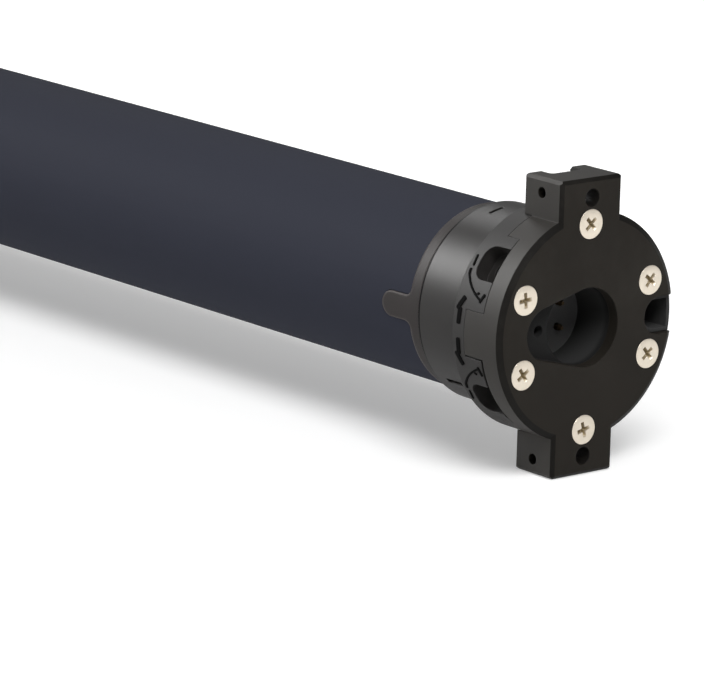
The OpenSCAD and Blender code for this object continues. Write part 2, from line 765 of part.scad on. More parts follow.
module head_body() color("#2d2a29") difference() {
    union() {
        station(head_len) rotate_extrude() polygon([
            [0, 0], [head_r - head_chamfer, 0], [head_r, head_chamfer],
            [head_r, head_len - cover_rim - seam_chamfer], [head_r - seam_chamfer, head_len - cover_rim],
            [0, head_len - cover_rim]
        ]);
        disc(head_len - past, land_end, crown_bore_r - turn_gap);
        disc(head_len, flange_at, neck_d / 2);
    }
    intersection() {
        ring(cover_rim - past, cover_cheek + seat_gap, head_d, head_r - cheek_wall - seat_gap);
        block([0, -cheek_half_w - seat_gap, -head_d], [head_len, cheek_half_w + seat_gap, head_d]);
    }
    for (angle = adjuster_angles) {
        radial(angle, window_floor_r, head_d) window_outline();
        radial_bar(angle, window_mid, window_floor_r - adjuster_len - side_gap, window_floor_r + past,
                   adjuster_d / 2 + turn_gap);
    }
    cover_tab(turn_gap, head_d);
    open_joint();
    disc(0, socket_end, flange_r + seat_gap);
    disc(0, flange_at + past, neck_bore_d / 2);
    slab(0, cover_cheek) outlet_outline(0);
    for (p = screw_points) bar(0, screw_len + side_gap, screw_d / 2 + turn_gap, p[0], p[1]);
    bar(0, socket_end - plug_hole_d, plug_hole_d / 2, -lobe_y, 0);
    bar(crown_teeth_at, flange_at + past, pinion_r + side_gap, pinion_y, 0);
    bar(land_end - 2 * axle_r, flange_at, axle_r + turn_gap, pinion_y, 0);
    collar_screw_places()
        disc(web_end - collar_screw_len - side_gap, flange_at + past, screw_d / 2 + turn_gap);
}

module cable_socket() color("#1c1c1c") difference() {
    union() {
        slab(cover_wall, cover_rim) pear(flange_r, lobe_r + socket_wall, lobe_y);
        disc(cover_wall, socket_end, flange_r);
    }
    slab(0, ledge_depth) pear(recess_r, lobe_r, lobe_y);
    disc(0, socket_floor, recess_r);
    bar(0, cover_rim + past, plug_hole_d / 2, -lobe_y, 0);
    for (a = pin_angles) rotate([a, 0, 0]) bar(0, socket_end + past, pin_d / 2 + turn_gap, pin_circle_r, 0);
}

module socket_pins() color("#c9a227") for (a = pin_angles) rotate([a, 0, 0]) translate([0, pin_circle_r, 0])
    station(pin_end) rotate_extrude() polygon([
        [0, 0], [pin_d / 2, 0], [pin_d / 2, socket_floor_t + pin_tail + pin_reach - pin_d / 2],
        [pin_d / 4, socket_floor_t + pin_tail + pin_reach], [0, socket_floor_t + pin_tail + pin_reach]
    ]);

// Rubber cup that lines the outlet notch
module outlet_grommet() color("#161616") difference() {
    intersection() {
        slab(grommet_depth, cover_cheek - seat_gap) outlet_outline(seat_gap);
        disc(0, head_len, head_r - seam_chamfer);
    }
    intersection() {
        slab(0, cover_cheek - seat_gap - grommet_floor) outlet_outline(seat_gap + grommet_wall);
        disc(-past, head_len, head_r - seam_chamfer - grommet_wall);
    }
}

// Adjusting screw behind a window, with a hexagon socket
module limit_adjuster(angle) color("#2b2b2c") difference() {
    radial_bar(angle, window_mid, window_floor_r - adjuster_len, window_floor_r - side_gap, adjuster_d / 2);
    rotate([angle, 0, 0]) translate([-window_mid, window_floor_r - adjuster_d, 0]) rotate([-90, 0, 0])
        cylinder(d = adjuster_hex, h = adjuster_d + past, $fn = 6);
}

// Small slot in the crown's rim: along is its size along the axis, round its size round the rim
module crown_slot(angle, from, along, round) radial(angle, crown_d / 2 - crown_slot_depth, crown_d)
    translate([-crown_at - from - along, -round / 2]) square([along, round]);

// Rotating ring that the blind tube turns, toothed inside
module crown_ring() color("#232221") difference() {
    station(crown_end) rotate_extrude() polygon([
        [crown_core_r, 0], [crown_d / 2 - crown_chamfer, 0], [crown_d / 2, crown_chamfer],
        [crown_d / 2, crown_len - crown_chamfer], [crown_d / 2 - crown_chamfer, crown_len],
        [crown_bore_r, crown_len], [crown_bore_r, crown_teeth_w], [crown_core_r, crown_teeth_w]
    ]);
    inner_gear_cut(crown_teeth_at - past, crown_end + past, crown_teeth, 0);
    for (turn = [0, 180]) {
        crown_slot(turn + cross_slot_angle, cross_slot_at, cross_slot_w, cross_slot_len);
        crown_slot(turn + key_slot_angle, key_slot_at, key_slot_len, key_slot_w);
    }
}

// Tongue outline from the tube's end, round at its tip and filleted at its root
module tongue_outline(gap) {
    half = tongue_w / 2 + gap;
    fillet = tongue_fillet - gap;
    tip = tube_at + tongue_len - tongue_w / 2;
    translate([-tip, -half]) square([tip - tube_at, 2 * half]);
    translate([-tip, 0]) circle(half);
    for (side = [-1, 1]) difference() {
        translate([-tube_at - fillet, side > 0 ? half : -half - fillet]) square(fillet);
        translate([-tube_at - fillet, side * (half + fillet)]) circle(fillet);
    }
}

module collar_screw_places()
    for (a = collar_screw_angles) rotate([a, 0, 0]) translate([0, collar_screw_r, 0]) children();

// Fixed collar that closes the crown and plugs into the tube
module tube_collar() color("#262423") difference() {
    union() {
        disc(flange_at, tube_at, collar_r);
        disc(flange_at, plug_end, unit_r);
        intersection() {
            disc(tube_at, plug_end, collar_r);
            radial(180, unit_r - past, head_d) tongue_outline(0);
        }
    }
    disc(web_end, plug_end + past, unit_r - plug_wall);
    disc(0, plug_end, neck_bore_d / 2);
    bar(0, plug_end, axle_r + side_gap, pinion_y, 0);
    collar_screw_places() disc(0, plug_end, screw_d / 2 + seat_gap);
}

module collar_screws() color("#b8bcc0") collar_screw_places() {
    disc(web_end - collar_screw_len, web_end + collar_head_h / 2, screw_d / 2);
    difference() {
        disc(web_end, web_end + collar_head_h, screw_d);
        for (turn = [0, 90]) rotate([turn, 0, 0])
            block([web_end + collar_head_h / 2, -screw_d / 2, -cross_w / 2],
                  [web_end + collar_head_h + past, screw_d / 2, cross_w / 2]);
    }
}

module tube_screw_places() for (a = tube_screw_angles) rotate([a, 0, 0]) children();

module motor_tube() color("#3b3c48") difference() {
    ring(tube_at, tube_end, tube_r, tube_bore_r);
    radial(180, unit_r - past, head_d) union() {
        tongue_outline(seat_gap);
        translate([-tube_at - seat_gap, -tongue_w]) square([past, 2 * tongue_w]);
    }
    tube_screw_places() radial_bar(0, tube_screw_at, tube_bore_r - past, head_d, screw_d / 2 + seat_gap);
}

module tube_screws() color("#b8bcc0") tube_screw_places() difference() {
    union() {
        radial_bar(0, tube_screw_at, tube_r - tube_screw_len, tube_r + seat_gap, screw_d / 2);
        radial_bar(0, tube_screw_at, tube_r, tube_r + tube_head_h, tube_head_d / 2);
    }
    for (turn = [0, 90]) translate([-tube_screw_at, tube_r + tube_head_h / 2, 0]) rotate([0, turn, 0])
        translate([-screw_d / 2, 0, -cross_w / 2]) cube([screw_d, tube_head_h, cross_w]);
}

// Leads from the socket's pins to the board, through the neck and the limit unit
module inlet_leads() color("#7a5230") for (i = [0 : 3]) {
    pin = polar(pin_circle_r, pin_angles[i]);
    lead([
        concat(pin_end, pin), concat(lead_start_at, pin),
        concat(lead_turn_at, lead_ends[i]), concat(terminal_at, lead_ends[i])
    ]);
}

module spindle_places() for (side = [-1, 1]) translate([0, spindle_y, side * spindle_z]) children();

// Two plates and four tie bars that carry the limit gears
module limit_frame() color("#d9d4c6") difference() {
    union() {
        disc(limit_at, limit_at + limit_plate, unit_r);
        disc(limit_end - limit_plate, limit_end, unit_r);
        for (a = tie_angles) rotate([a, 0, 0]) bar(limit_at, limit_end, tie_r, tie_circle_r, 0);
    }
    bar(0, limit_end + past, axle_r + turn_gap, pinion_y, 0);
    bar(0, limit_end + past, lead_hole_r, lead_hole_y, 0);
    spindle_places() disc(0, limit_end + past, axle_r + turn_gap);
}

// Pinion on a long axle: its front gear runs in the crown, its rear gear drives both spindles
module limit_pinion() color("#efe9dc") translate([0, pinion_y, 0]) {
    gear(crown_teeth_at + side_gap, flange_at - side_gap, pinion_teeth, 0);
    gear(limit_gear_at, limit_gear_at + limit_gear_w, pinion_teeth, 0);
    bar(land_end - axle_r, limit_end, axle_r, 0, 0);
}

module limit_spindle(side) color("#c4c6c9") translate([0, spindle_y, side * spindle_z]) {
    gear(limit_gear_at, limit_gear_at + limit_gear_w, spindle_teeth,
         mesh_turn(side * spindle_bearing, pinion_teeth, spindle_teeth));
    disc(limit_at, limit_end, axle_r);
    disc(thread_at, thread_end, thread_r);
}

// Nut that travels along a spindle and is kept from turning by a tie bar
module limit_nut(side) color("#cc5a2b") {
    tie = [tie_circle_r * cos(tie_angles[0]), side * tie_circle_r * sin(tie_angles[0])];
    axis = [spindle_y, side * spindle_z];
    arm = tie - axis;
    from = nut_mid - nut_len / 2;
    difference() {
        slab(from, from + nut_len) union() {
            translate(axis) circle(nut_r);
            translate(tie) circle(tie_r + nut_wall);
            translate(axis) rotate(atan2(arm[1], arm[0])) translate([0, -tie_r - nut_wall])
                square([norm(arm), 2 * (tie_r + nut_wall)]);
        }
        bar(0, limit_end, thread_r + 2 * turn_gap, axis[0], axis[1]);
        bar(0, limit_end, tie_r + 2 * turn_gap, tie[0], tie[1]);
    }
}

// Two lever switches, one at each end of the nuts' travel
module limit_switches() color("#3a3a3c") {
    reach = nut_len / 2 + nut_travel + side_gap;
    limit_switch(nut_mid + reach + lever_t, limit_end - limit_plate, nut_mid + reach, switch_z);
    limit_switch(limit_at + limit_plate, nut_mid - reach - lever_t, nut_mid - reach - lever_t,
                 -switch_z - switch_h);
}

// Switch body between two depths, standing at a height, with a lever across the nut's path
module limit_switch(from, to, lever_at, z) {
    block([from, switch_y, z], [to, switch_y + switch_w, z + switch_h]);
    block([lever_at, switch_y, z + lever_inset],
          [lever_at + lever_t, lever_tip_y, z + switch_h - lever_inset]);
}

// Two end discs and two grooved rails for the control board
module board_carrier() color("#4a4a4e") difference() {
    union() {
        disc(board_at, board_at + board_disc, unit_r);
        disc(board_end - board_disc, board_end, unit_r);
        for (side = [-1, 1]) intersection() {
            disc(board_at, board_end, unit_r);
            translate([0, side * board_w / 2, 0])
                block([board_at, -rail_lip - (side < 0 ? unit_r : 0), board_z - rail_h],
                      [board_end, rail_lip + (side > 0 ? unit_r : 0), board_top + rail_h]);
        }
    }
    block([board_at + board_disc, -board_w / 2 - seat_gap, board_z - seat_gap],
          [board_end - board_disc, board_w / 2 + seat_gap, board_top + seat_gap]);
    bar(0, board_at + board_disc + past, lead_hole_r, lead_hole_y, 0);
    bar(board_end - board_disc - past, board_end + past, motor_lead_hole_r, 0, motor_lead_hole_z);
}

module control_board() color("#2f6b3a") block([board_at + board_disc + seat_gap, -board_w / 2, board_z],
                                              [board_end - board_disc - seat_gap, board_w / 2, board_top]);

// Terminal block with a screw well over each pair of leads
module terminal_block() color("#2e7d4f") difference() {
    block([terminal_at, lead_hole_y - terminal_half_w, board_top],
          [terminal_at + terminal_len, lead_hole_y + terminal_half_w, terminal_top]);
    for (i = [0, 1])
        translate([-terminal_at - terminal_len / 2, lead_ends[i][0], terminal_top - terminal_well_r])
            cylinder(r = terminal_well_r, h = terminal_well_r + past);
}

module relays() color("#2b4a8c") for (y = [-relay_w - relay_gap / 2, relay_gap / 2])
    block([relay_at, y, board_top], [relay_at + relay_len, y + relay_w, board_top + relay_h]);

// Small circuit board under a shield can
module radio_module() color("#b9bdc2") {
    can_z = board_top + radio_board_t;
    can_at = radio_at + 2 * radio_can_inset;
    block([radio_at, radio_inner_y, board_top], [radio_at + radio_len, board_part_half, can_z]);
    block([can_at, radio_inner_y + radio_can_inset, can_z],
          [can_at + radio_can_len, board_part_half - radio_can_inset, can_z + radio_can_h]);
}

// Wound bobbin between a base and a top flange
module board_transformer() color("#d8b13a") {
    low_z = board_top + transformer_base_t;
    top_z = board_top + transformer_h - transformer_top_t;
    to = radio_at + transformer_len;
    in = transformer_inset;
    block([radio_at, -board_part_half, board_top], [to, transformer_inner_y, low_z]);
    block([radio_at + in, in - board_part_half, low_z], [to - in, transformer_inner_y - in, top_z]);
    block([radio_at, -board_part_half, top_z], [to, transformer_inner_y, board_top + transformer_h]);
}

// Round can with a seamed rear rim
module run_capacitor() color("#e6e6e2") station(capacitor_mid + capacitor_len / 2) rotate_extrude() polygon([
    [0, 0], [capacitor_r - 2 * can_edge, 0], [capacitor_r - 2 * can_edge, can_rim],
    [capacitor_r - can_edge, can_rim], [capacitor_r, can_rim + can_edge],
    [capacitor_r, capacitor_len - can_edge], [capacitor_r - can_edge, capacitor_len], [0, capacitor_len]
]);

module capacitor_rings() color("#55565a")
    for (d = [capacitor_mid - capacitor_len / 3, capacitor_mid + capacitor_len / 3]) difference() {
        ring(d - capacitor_ring_w / 2, d + capacitor_ring_w / 2, unit_r, capacitor_r + seat_gap);
        motor_lead_holes(d - capacitor_ring_w, d + capacitor_ring_w);
    }

module motor_lead_holes(from, to) for (y = motor_lead_ys) bar(from, to, lead_r + seat_gap, y, motor_lead_z);

// Leads from the board over the capacitor to the winding
module motor_leads() color("#8b2f2f") for (y = motor_lead_ys) lead([
    [motor_lead_from, y, board_top], [motor_lead_from, y, board_top + motor_lead_rise],
    [motor_lead_turn, y, motor_lead_z], [end_turn_at, y, motor_lead_z]
]);

// Motor shield: end plate with a bearing seat and a wall round the end turns
module motor_shield() difference() {
    union() {
        disc(motor_at, motor_at + shield_plate, unit_r);
        ring(motor_at, stator_at, unit_r, unit_r - shield_wall);
    }
    disc(motor_at - past, stator_at, shaft_d / 2 + side_gap);
    disc(motor_at + shield_plate - bearing_w, stator_at, bearing_d / 2 + turn_gap);
}

module motor_front_shield() color("#9a9da1") difference() {
    motor_shield();
    motor_lead_holes(motor_at - past, motor_at + shield_plate + past);
}

// The rear shield is the same casting, turned round the middle of the stator
module to_rear() translate([-stator_at - stator_end, 0, 0]) rotate([0, 180, 0]) children();
module motor_rear_shield() color("#9a9da1") to_rear() motor_shield();

module stator_core() color("#6d7075") difference() {
    ring(stator_at, stator_end, unit_r - seat_gap, stator_bore_r);
    for (i = [0 : slot_count - 1]) rotate([i * 360 / slot_count, 0, 0]) {
        block([stator_at - past, slot_inner_r, -slot_w / 2], [stator_end + past, slot_root_r, slot_w / 2]);
        block([stator_at - past, stator_bore_r - past, -slot_w / 4],
              [stator_end + past, slot_inner_r + past, slot_w / 4]);
    }
}

// Wound coils: a bar in each slot and a ring of end turns on each side
module stator_winding() color("#b0652f") {
    inner = slot_inner_r + seat_gap;
    outer = slot_root_r - seat_gap;
    half = slot_w / 2 - seat_gap;
    c = turn_chamfer;
    for (from = [end_turn_at, stator_end]) station(from + end_turn_len) rotate_extrude() polygon([
        [inner, c], [inner + c, 0], [outer, 0], [outer + c, c], [outer + c, end_turn_len - c],
        [outer, end_turn_len], [inner + c, end_turn_len], [inner, end_turn_len - c]
    ]);
    for (i = [0 : slot_count - 1]) rotate([i * 360 / slot_count, 0, 0])
        block([stator_at - past, inner + c, -half], [stator_end + past, outer, half]);
}

// Laminated rotor with a dished end ring on each side
module rotor_core() color("#83868b") difference() {
    union() {
        disc(stator_at, stator_end, rotor_r);
        disc(stator_at - end_ring_len, stator_end + end_ring_len, rotor_r - end_ring_step);
    }
    disc(stator_at - end_ring_len - past, stator_end + end_ring_len + past, shaft_d / 2 + turn_gap);
    for (from = [stator_at - end_ring_len - past, stator_end + end_ring_len / 2])
        ring(from, from + end_ring_len / 2 + past, rotor_r - end_ring_step - end_ring_wall,
             shaft_d / 2 + end_ring_step);
}

// Shaft with the first sun gear cut on its end
module rotor_shaft() color("#c4c6c9") {
    disc(motor_at + side_gap, gear_at - shaft_shoulder, shaft_d / 2 - turn_gap);
    disc(gear_at - 2 * shaft_shoulder, stage_at[0] + shaft_shoulder, sun_root_r);
    gear(stage_at[0], stage_at[0] + planet_w, sun_teeth, 0);
}

// Ball bearing between two depths: outer ring, inner ring and balls
module ball_bearing(from) {
    inner = shaft_d / 2;
    outer = bearing_d / 2;
    race = (outer - inner) / 4;
    ring(from, from + bearing_w, outer, outer - race);
    ring(from, from + bearing_w, inner + race, inner);
    for (i = [0 : ball_count - 1]) rotate([i * 360 / ball_count, 0, 0])
        translate([-from - bearing_w / 2, (inner + outer) / 2, 0]) sphere(race - turn_gap);
}

module rotor_bearings() color("#d3d6d9") {
    ball_bearing(motor_at + shield_plate - bearing_w + seat_gap);
    to_rear() ball_bearing(motor_at + shield_plate - bearing_w + seat_gap);
}

// Brake housing with the fixed friction ring
module brake_housing() color("#8d9094") {
    ring(brake_at, brake_end, unit_r, brake_bore_r);
    ring(friction_at, friction_at + friction_t, unit_r, spring_r);
}

// Magnet body with a ring groove for the coil and a bore for the spring
module brake_magnet() color("#5f6266") difference() {
    ring(magnet_at, magnet_end, brake_bore_r - seat_gap, shaft_d / 2 + side_gap);
    disc(magnet_at + spring_seat, magnet_end + past, magnet_bore_r);
    ring(magnet_at + spring_seat, magnet_end + past, coil_out_r, coil_in_r);
}

module brake_coil() color("#b0652f")
    ring(magnet_at + spring_seat + seat_gap, magnet_end - seat_gap,
         coil_out_r - seat_gap, coil_in_r + seat_gap);

// Helical spring that presses the armature on the brake disc
function spring_ring(t) =
    let (turn = 360 * t, rise = spring_from + (spring_to - spring_from) * t / spring_turns)
    [for (k = [0 : spring_sides - 1])
        let (a = 360 * k / spring_sides, reach = spring_r + spring_wire / 2 * cos(a))
        [-rise - spring_wire / 2 * sin(a), reach * cos(turn), reach * sin(turn)]];
module brake_spring() color("#aab0b6") {
    count = spring_turns * spring_steps;
    points = [for (i = [0 : count]) each spring_ring(i / spring_steps)];
    walls = [for (i = [0 : count - 1], k = [0 : spring_sides - 1])
        let (a = i * spring_sides + k, b = i * spring_sides + (k + 1) % spring_sides)
        each [[a, b + spring_sides, b], [a, a + spring_sides, b + spring_sides]]];
    near_end = [for (k = [1 : spring_sides - 2]) [0, k, k + 1]];
    last = count * spring_sides;
    far_end = [for (k = [1 : spring_sides - 2]) [last, last + k + 1, last + k]];
    polyhedron(points, concat(walls, near_end, far_end));
}

module brake_armature() color("#74777b")
    ring(armature_at, armature_at + armature_t, brake_bore_r - side_gap, shaft_d / 2 + side_gap);

module brake_disc() color("#6b4a3a") difference() {
    disc(disc_at, disc_at + disc_t, brake_bore_r - disc_margin);
    disc(disc_at - past, disc_at + disc_t + past, shaft_d / 2);
    for (a = [0 : 60 : 300]) rotate([a, 0, 0])
        bar(disc_at - past, disc_at + disc_t + past, disc_hole_r, brake_bore_r / 2, 0);
}

module gearbox_plate() color("#9a9da1") ring(gear_at, gear_at + gear_plate, unit_r, shaft_d / 2 + side_gap);

// Housing with the ring gear of all three stages and the seat of the output bush
module gearbox_housing() color("#55585c") difference() {
    disc(housing_at, housing_end, unit_r);
    inner_gear_cut(housing_at - past, wall_at, ring_teeth, 180 / ring_teeth);
    disc(housing_at, housing_end + past, bush_d / 2 + turn_gap);
    tube_screw_places()
        radial_bar(0, tube_screw_at, tube_r - tube_screw_len - side_gap, head_d, screw_d / 2 + turn_gap);
}

module planet(stage, index) color("#a9adb3") {
    a = planet_angles[index];
    translate([0, planet_circle_r * cos(a), planet_circle_r * sin(a)]) difference() {
        gear(stage_at[stage], stage_at[stage] + planet_w, planet_teeth,
             mesh_turn(a, sun_teeth, planet_teeth));
        disc(0, output_end, planet_pin_d / 2 + turn_gap);
    }
}

module planet_pins(stage) for (a = planet_angles) rotate([a, 0, 0])
    bar(stage_at[stage], stage_at[stage] + planet_w + stage_gap + past,
        planet_pin_d / 2, planet_circle_r, 0);

// Carrier of one stage with the sun of the next stage on its back
module carrier(stage) color("#8a8d92") {
    from = stage_at[stage] + planet_w + stage_gap;
    disc(from, from + carrier_t, carrier_r);
    planet_pins(stage);
    gear(from + carrier_t - past, stage_at[stage + 1] + planet_w, sun_teeth, 0);
}

// Last carrier, in one piece with the output shaft and its flat
module output_carrier() color("#9ea2a7") difference() {
    union() {
        disc(output_disc_at, output_disc_at + output_disc_t, carrier_r);
        planet_pins(2);
        disc(output_disc_at, output_end - output_chamfer, output_d / 2);
        station(output_end)
            cylinder(r1 = output_d / 2 - output_chamfer, r2 = output_d / 2, h = output_chamfer);
    }
    block([output_end - output_flat_len, output_flat - output_d / 2, -output_d],
          [output_end + past, output_d, output_d]);
    ring(circlip_at - seat_gap, circlip_at + circlip_t + seat_gap, output_d, output_d / 2 - circlip_groove);
}

module output_bush() color("#b08d57") ring(wall_at, housing_end, bush_d / 2, output_d / 2 + turn_gap);

module output_cap() color("#2d2c2e") difference() {
    union() {
        disc(cap_at, cap_end, unit_r);
        disc(tube_end, cap_end, tube_r);
    }
    disc(cap_at - past, cap_end + past, output_d / 2 + side_gap);
    for (a = [0 : 60 : 300]) rotate([a, 0, 0])
        bar(cap_at - past, tube_end, cap_pocket_r, cap_pocket_circle_r, 0);
}

// Open retaining ring in the shaft's groove
module output_circlip() color("#3d3f42") difference() {
    ring(circlip_at, circlip_at + circlip_t,
         output_d / 2 + circlip_rim, output_d / 2 - circlip_groove + seat_gap);
    block([circlip_at - past, 0, -output_d / 4], [circlip_at + circlip_t + past, output_d, output_d / 4]);
}

front_cover();
cover_screws();
head_body();
cable_socket();
socket_pins();
outlet_grommet();
limit_adjuster(adjuster_angles[0]);  // limit_adjuster_up
limit_adjuster(adjuster_angles[1]);  // limit_adjuster_down
crown_ring();
tube_collar();
collar_screws();
motor_tube();
inlet_leads();
limit_frame();
limit_pinion();
limit_spindle(1);  // limit_spindle_up
limit_spindle(-1);  // limit_spindle_down
limit_nut(1);  // limit_nut_up
limit_nut(-1);  // limit_nut_down
limit_switches();
board_carrier();
control_board();
terminal_block();
relays();
radio_module();
board_transformer();
run_capacitor();
capacitor_rings();
motor_leads();
motor_front_shield();
stator_core();
stator_winding();
rotor_core();
rotor_shaft();
rotor_bearings();
motor_rear_shield();
brake_housing();
brake_magnet();
brake_coil();
brake_spring();
brake_armature();
brake_disc();
gearbox_plate();
gearbox_housing();
planet(0, 0);  // planet_1a
planet(0, 1);  // planet_1b
planet(0, 2);  // planet_1c
carrier(0);  // carrier_1
planet(1, 0);  // planet_2a
planet(1, 1);  // planet_2b
planet(1, 2);  // planet_2c
carrier(1);  // carrier_2
planet(2, 0);  // planet_3a
planet(2, 1);  // planet_3b
planet(2, 2);  // planet_3c
output_carrier();
output_bush();
output_cap();
output_circlip();
tube_screws();
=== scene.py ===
import json
import math

import bpy
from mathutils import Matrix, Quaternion, Vector


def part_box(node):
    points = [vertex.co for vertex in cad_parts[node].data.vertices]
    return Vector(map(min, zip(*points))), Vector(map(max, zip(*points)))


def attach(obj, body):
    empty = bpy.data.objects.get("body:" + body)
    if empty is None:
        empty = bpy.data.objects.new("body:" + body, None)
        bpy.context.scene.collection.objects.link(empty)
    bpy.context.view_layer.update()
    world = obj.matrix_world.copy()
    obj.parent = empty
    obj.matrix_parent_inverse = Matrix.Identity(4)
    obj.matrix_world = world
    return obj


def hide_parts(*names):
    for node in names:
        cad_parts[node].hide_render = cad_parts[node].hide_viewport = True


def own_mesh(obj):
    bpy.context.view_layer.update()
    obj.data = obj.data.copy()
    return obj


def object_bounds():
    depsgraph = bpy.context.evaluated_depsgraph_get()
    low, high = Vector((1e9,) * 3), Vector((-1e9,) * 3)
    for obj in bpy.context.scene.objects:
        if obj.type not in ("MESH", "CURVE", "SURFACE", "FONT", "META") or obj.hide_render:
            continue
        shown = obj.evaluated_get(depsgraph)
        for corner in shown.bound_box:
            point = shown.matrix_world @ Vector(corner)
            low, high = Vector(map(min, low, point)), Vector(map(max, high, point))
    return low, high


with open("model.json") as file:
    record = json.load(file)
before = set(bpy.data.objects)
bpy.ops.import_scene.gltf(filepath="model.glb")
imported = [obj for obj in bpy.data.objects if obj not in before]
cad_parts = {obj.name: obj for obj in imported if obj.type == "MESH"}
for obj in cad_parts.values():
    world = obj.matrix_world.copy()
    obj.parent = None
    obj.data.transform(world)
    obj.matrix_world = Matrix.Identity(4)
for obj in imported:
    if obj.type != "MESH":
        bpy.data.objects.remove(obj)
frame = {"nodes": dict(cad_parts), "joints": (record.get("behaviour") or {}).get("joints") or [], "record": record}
nodes = frame["nodes"]
cad_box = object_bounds()

# Camera
# It stands to the right of the head and a little above it, as the photograph was taken. Its place
# follows from the edges of the tube, the head and the lugs, with the tube taken as 45 mm across.
PHOTO_WIDTH_PX = 704
FOCAL_LENGTH_PX = 4951.2
camera_place = Vector((0.820898, -0.751555, 0.264557))
camera_back = Vector((0.7476162, -0.6203350, 0.2371804))
camera_roll = math.radians(1.5215)
camera_data = bpy.data.cameras.new("camera")
camera_data.sensor_width = 36.0
camera_data.sensor_fit = "HORIZONTAL"
camera_data.lens = FOCAL_LENGTH_PX * camera_data.sensor_width / PHOTO_WIDTH_PX
camera_data.clip_start = 0.05
camera = bpy.data.objects.new("camera", camera_data)
camera.rotation_mode = "QUATERNION"
camera.rotation_quaternion = camera_back.to_track_quat("Z", "Y") @ Quaternion((0, 0, 1), camera_roll)
camera.location = camera_place
bpy.context.scene.collection.objects.link(camera)
bpy.context.scene.camera = camera
bpy.context.scene.view_settings.view_transform = "Standard"


# Floor
# A wide white table top that the lower lug stands on. It takes the motor's soft shadow, and shows
# as plain white to the camera and in reflections.
class Wire:
    """A shader socket that takes part in sums as a number does, and from which new nodes grow."""

    def __init__(self, tree, socket=None):
        self.tree = tree
        self.socket = socket

    def node(self, kind, settings=None, inputs=None, output=0):
        """Adds a node: its settings are set first, then its sockets get values or links."""
        made = self.tree.nodes.new("ShaderNode" + kind)
        for name, value in (settings or {}).items():
            setattr(made, name, value)
        for name, value in (inputs or {}).items():
            self.feed(made.inputs[name], value)
        return Wire(self.tree, made.outputs[output] if made.outputs else None)

    def feed(self, socket, value):
        if isinstance(value, Wire):
            self.tree.links.new(value.socket, socket)
        else:
            socket.default_value = value

    def sum(self, operation, first, second):
        return self.node("Math", {"operation": operation}, {0: first, 1: second})

    def axis(self, letter):
        """One coordinate of a vector."""
        return self.node("SeparateXYZ", inputs={"Vector": self}, output=letter)

    def ramp(self, start, end, top=1.0, kind="LINEAR"):
        """Goes from 0 to the top while the value goes from start to end."""
        return self.node("MapRange", {"interpolation_type": kind},
                         {"Value": self, "From Min": start, "From Max": end, "To Max": top})

    def __abs__(self):
        return self.node("Math", {"operation": "ABSOLUTE"}, {0: self})

    def __add__(self, other):
        return self.sum("ADD", self, other)

    def __sub__(self, other):
        return self.sum("SUBTRACT", self, other)

    def __rsub__(self, other):
        return self.sum("SUBTRACT", other, self)

    def __mul__(self, other):
        return self.sum("MULTIPLY", self, other)

    __radd__ = __add__
    __rmul__ = __mul__


FLOOR_SIZE = 12.0
FLOOR_GAP = 0.0001
SHADOW_END = 0.08
SHADOW_NEAR = 0.06
SHADOW_FAR = 0.2
PAPER_GLOW = 0.3
dark_fibre = (0.84, 0.84, 0.84, 1)
light_fibre = (0.86, 0.86, 0.86, 1)
floor_paper = bpy.data.materials.new("white_paper")
floor_paper.use_nodes = True
floor_tree = floor_paper.node_tree
floor_tree.nodes.clear()
wire = Wire(floor_tree)
seen = wire.node("LightPath", output="Is Camera Ray")
mirrored = wire.node("LightPath", output="Is Glossy Ray")
through = wire.node("LightPath", output="Is Transmission Ray")
paper_place = wire.node("TexCoord", output="Object")
paper_fibre = wire.node("TexNoise", inputs={"Vector": paper_place, "Scale": 40.0, "Detail": 3.0})
paper_colour = wire.node("Mix", {"data_type": "RGBA"},
                         {0: paper_fibre, 6: dark_fibre, 7: light_fibre}, output=2)
paper = wire.node("BsdfDiffuse", inputs={"Color": paper_colour})
# Painted light: to the camera and in reflections the paper glows twice as strongly away from the motor as beside
# it, and near the motor's ends this rise lifts the edge of its shadow.
half_length = (cad_box[1][0] - cad_box[0][0]) / 2
off_middle = abs(paper_place.axis("X") - (cad_box[0][0] + half_length))
off_axis = abs(paper_place.axis("Y"))
aside = wire.sum("MAXIMUM", off_axis, off_middle - half_length + SHADOW_END)
glow = PAPER_GLOW + PAPER_GLOW * aside.ramp(SHADOW_NEAR, SHADOW_FAR, kind="SMOOTHSTEP")
shine = wire.node("Emission", inputs={"Strength": (seen + mirrored + through) * glow})
lit_paper = wire.node("AddShader", inputs={0: paper, 1: shine})
wire.node("OutputMaterial", inputs={"Surface": lit_paper})
bpy.ops.object.select_all(action="DESELECT")
bpy.ops.mesh.primitive_plane_add(size=FLOOR_SIZE, location=(0, 0, cad_box[0][2] - FLOOR_GAP))
floor = bpy.context.object
floor.name = "floor"
floor.data.materials.append(floor_paper)

# Lights
# A pale room, dark behind the camera. A wide soft key above the face throws the shadow back under
# the tube, and a box behind the left side draws the long highlight on the crown and the head. A low
# fill lights the near side, and a small box behind the far side shines on the tops.
ROOM_LIGHT = 0.36
ROOM_DARKER = 0.28
DARK_FROM = 0.35
DARK_FULL = 0.95
world = bpy.data.worlds.new("pale_room")
world.use_nodes = True
world.node_tree.nodes.clear()
bpy.context.scene.world = world
wire = Wire(world.node_tree)
look = wire.node("TexCoord", output="Generated")
facing = wire.node("VectorMath", {"operation": "DOT_PRODUCT"}, {0: look, 1: camera_back}, output="Value")
dark_side = facing.ramp(DARK_FROM, DARK_FULL, kind="SMOOTHSTEP")
room = wire.node("Background", inputs={"Strength": ROOM_LIGHT - ROOM_DARKER * dark_side})
wire.node("OutputWorld", inputs={"Surface": room})


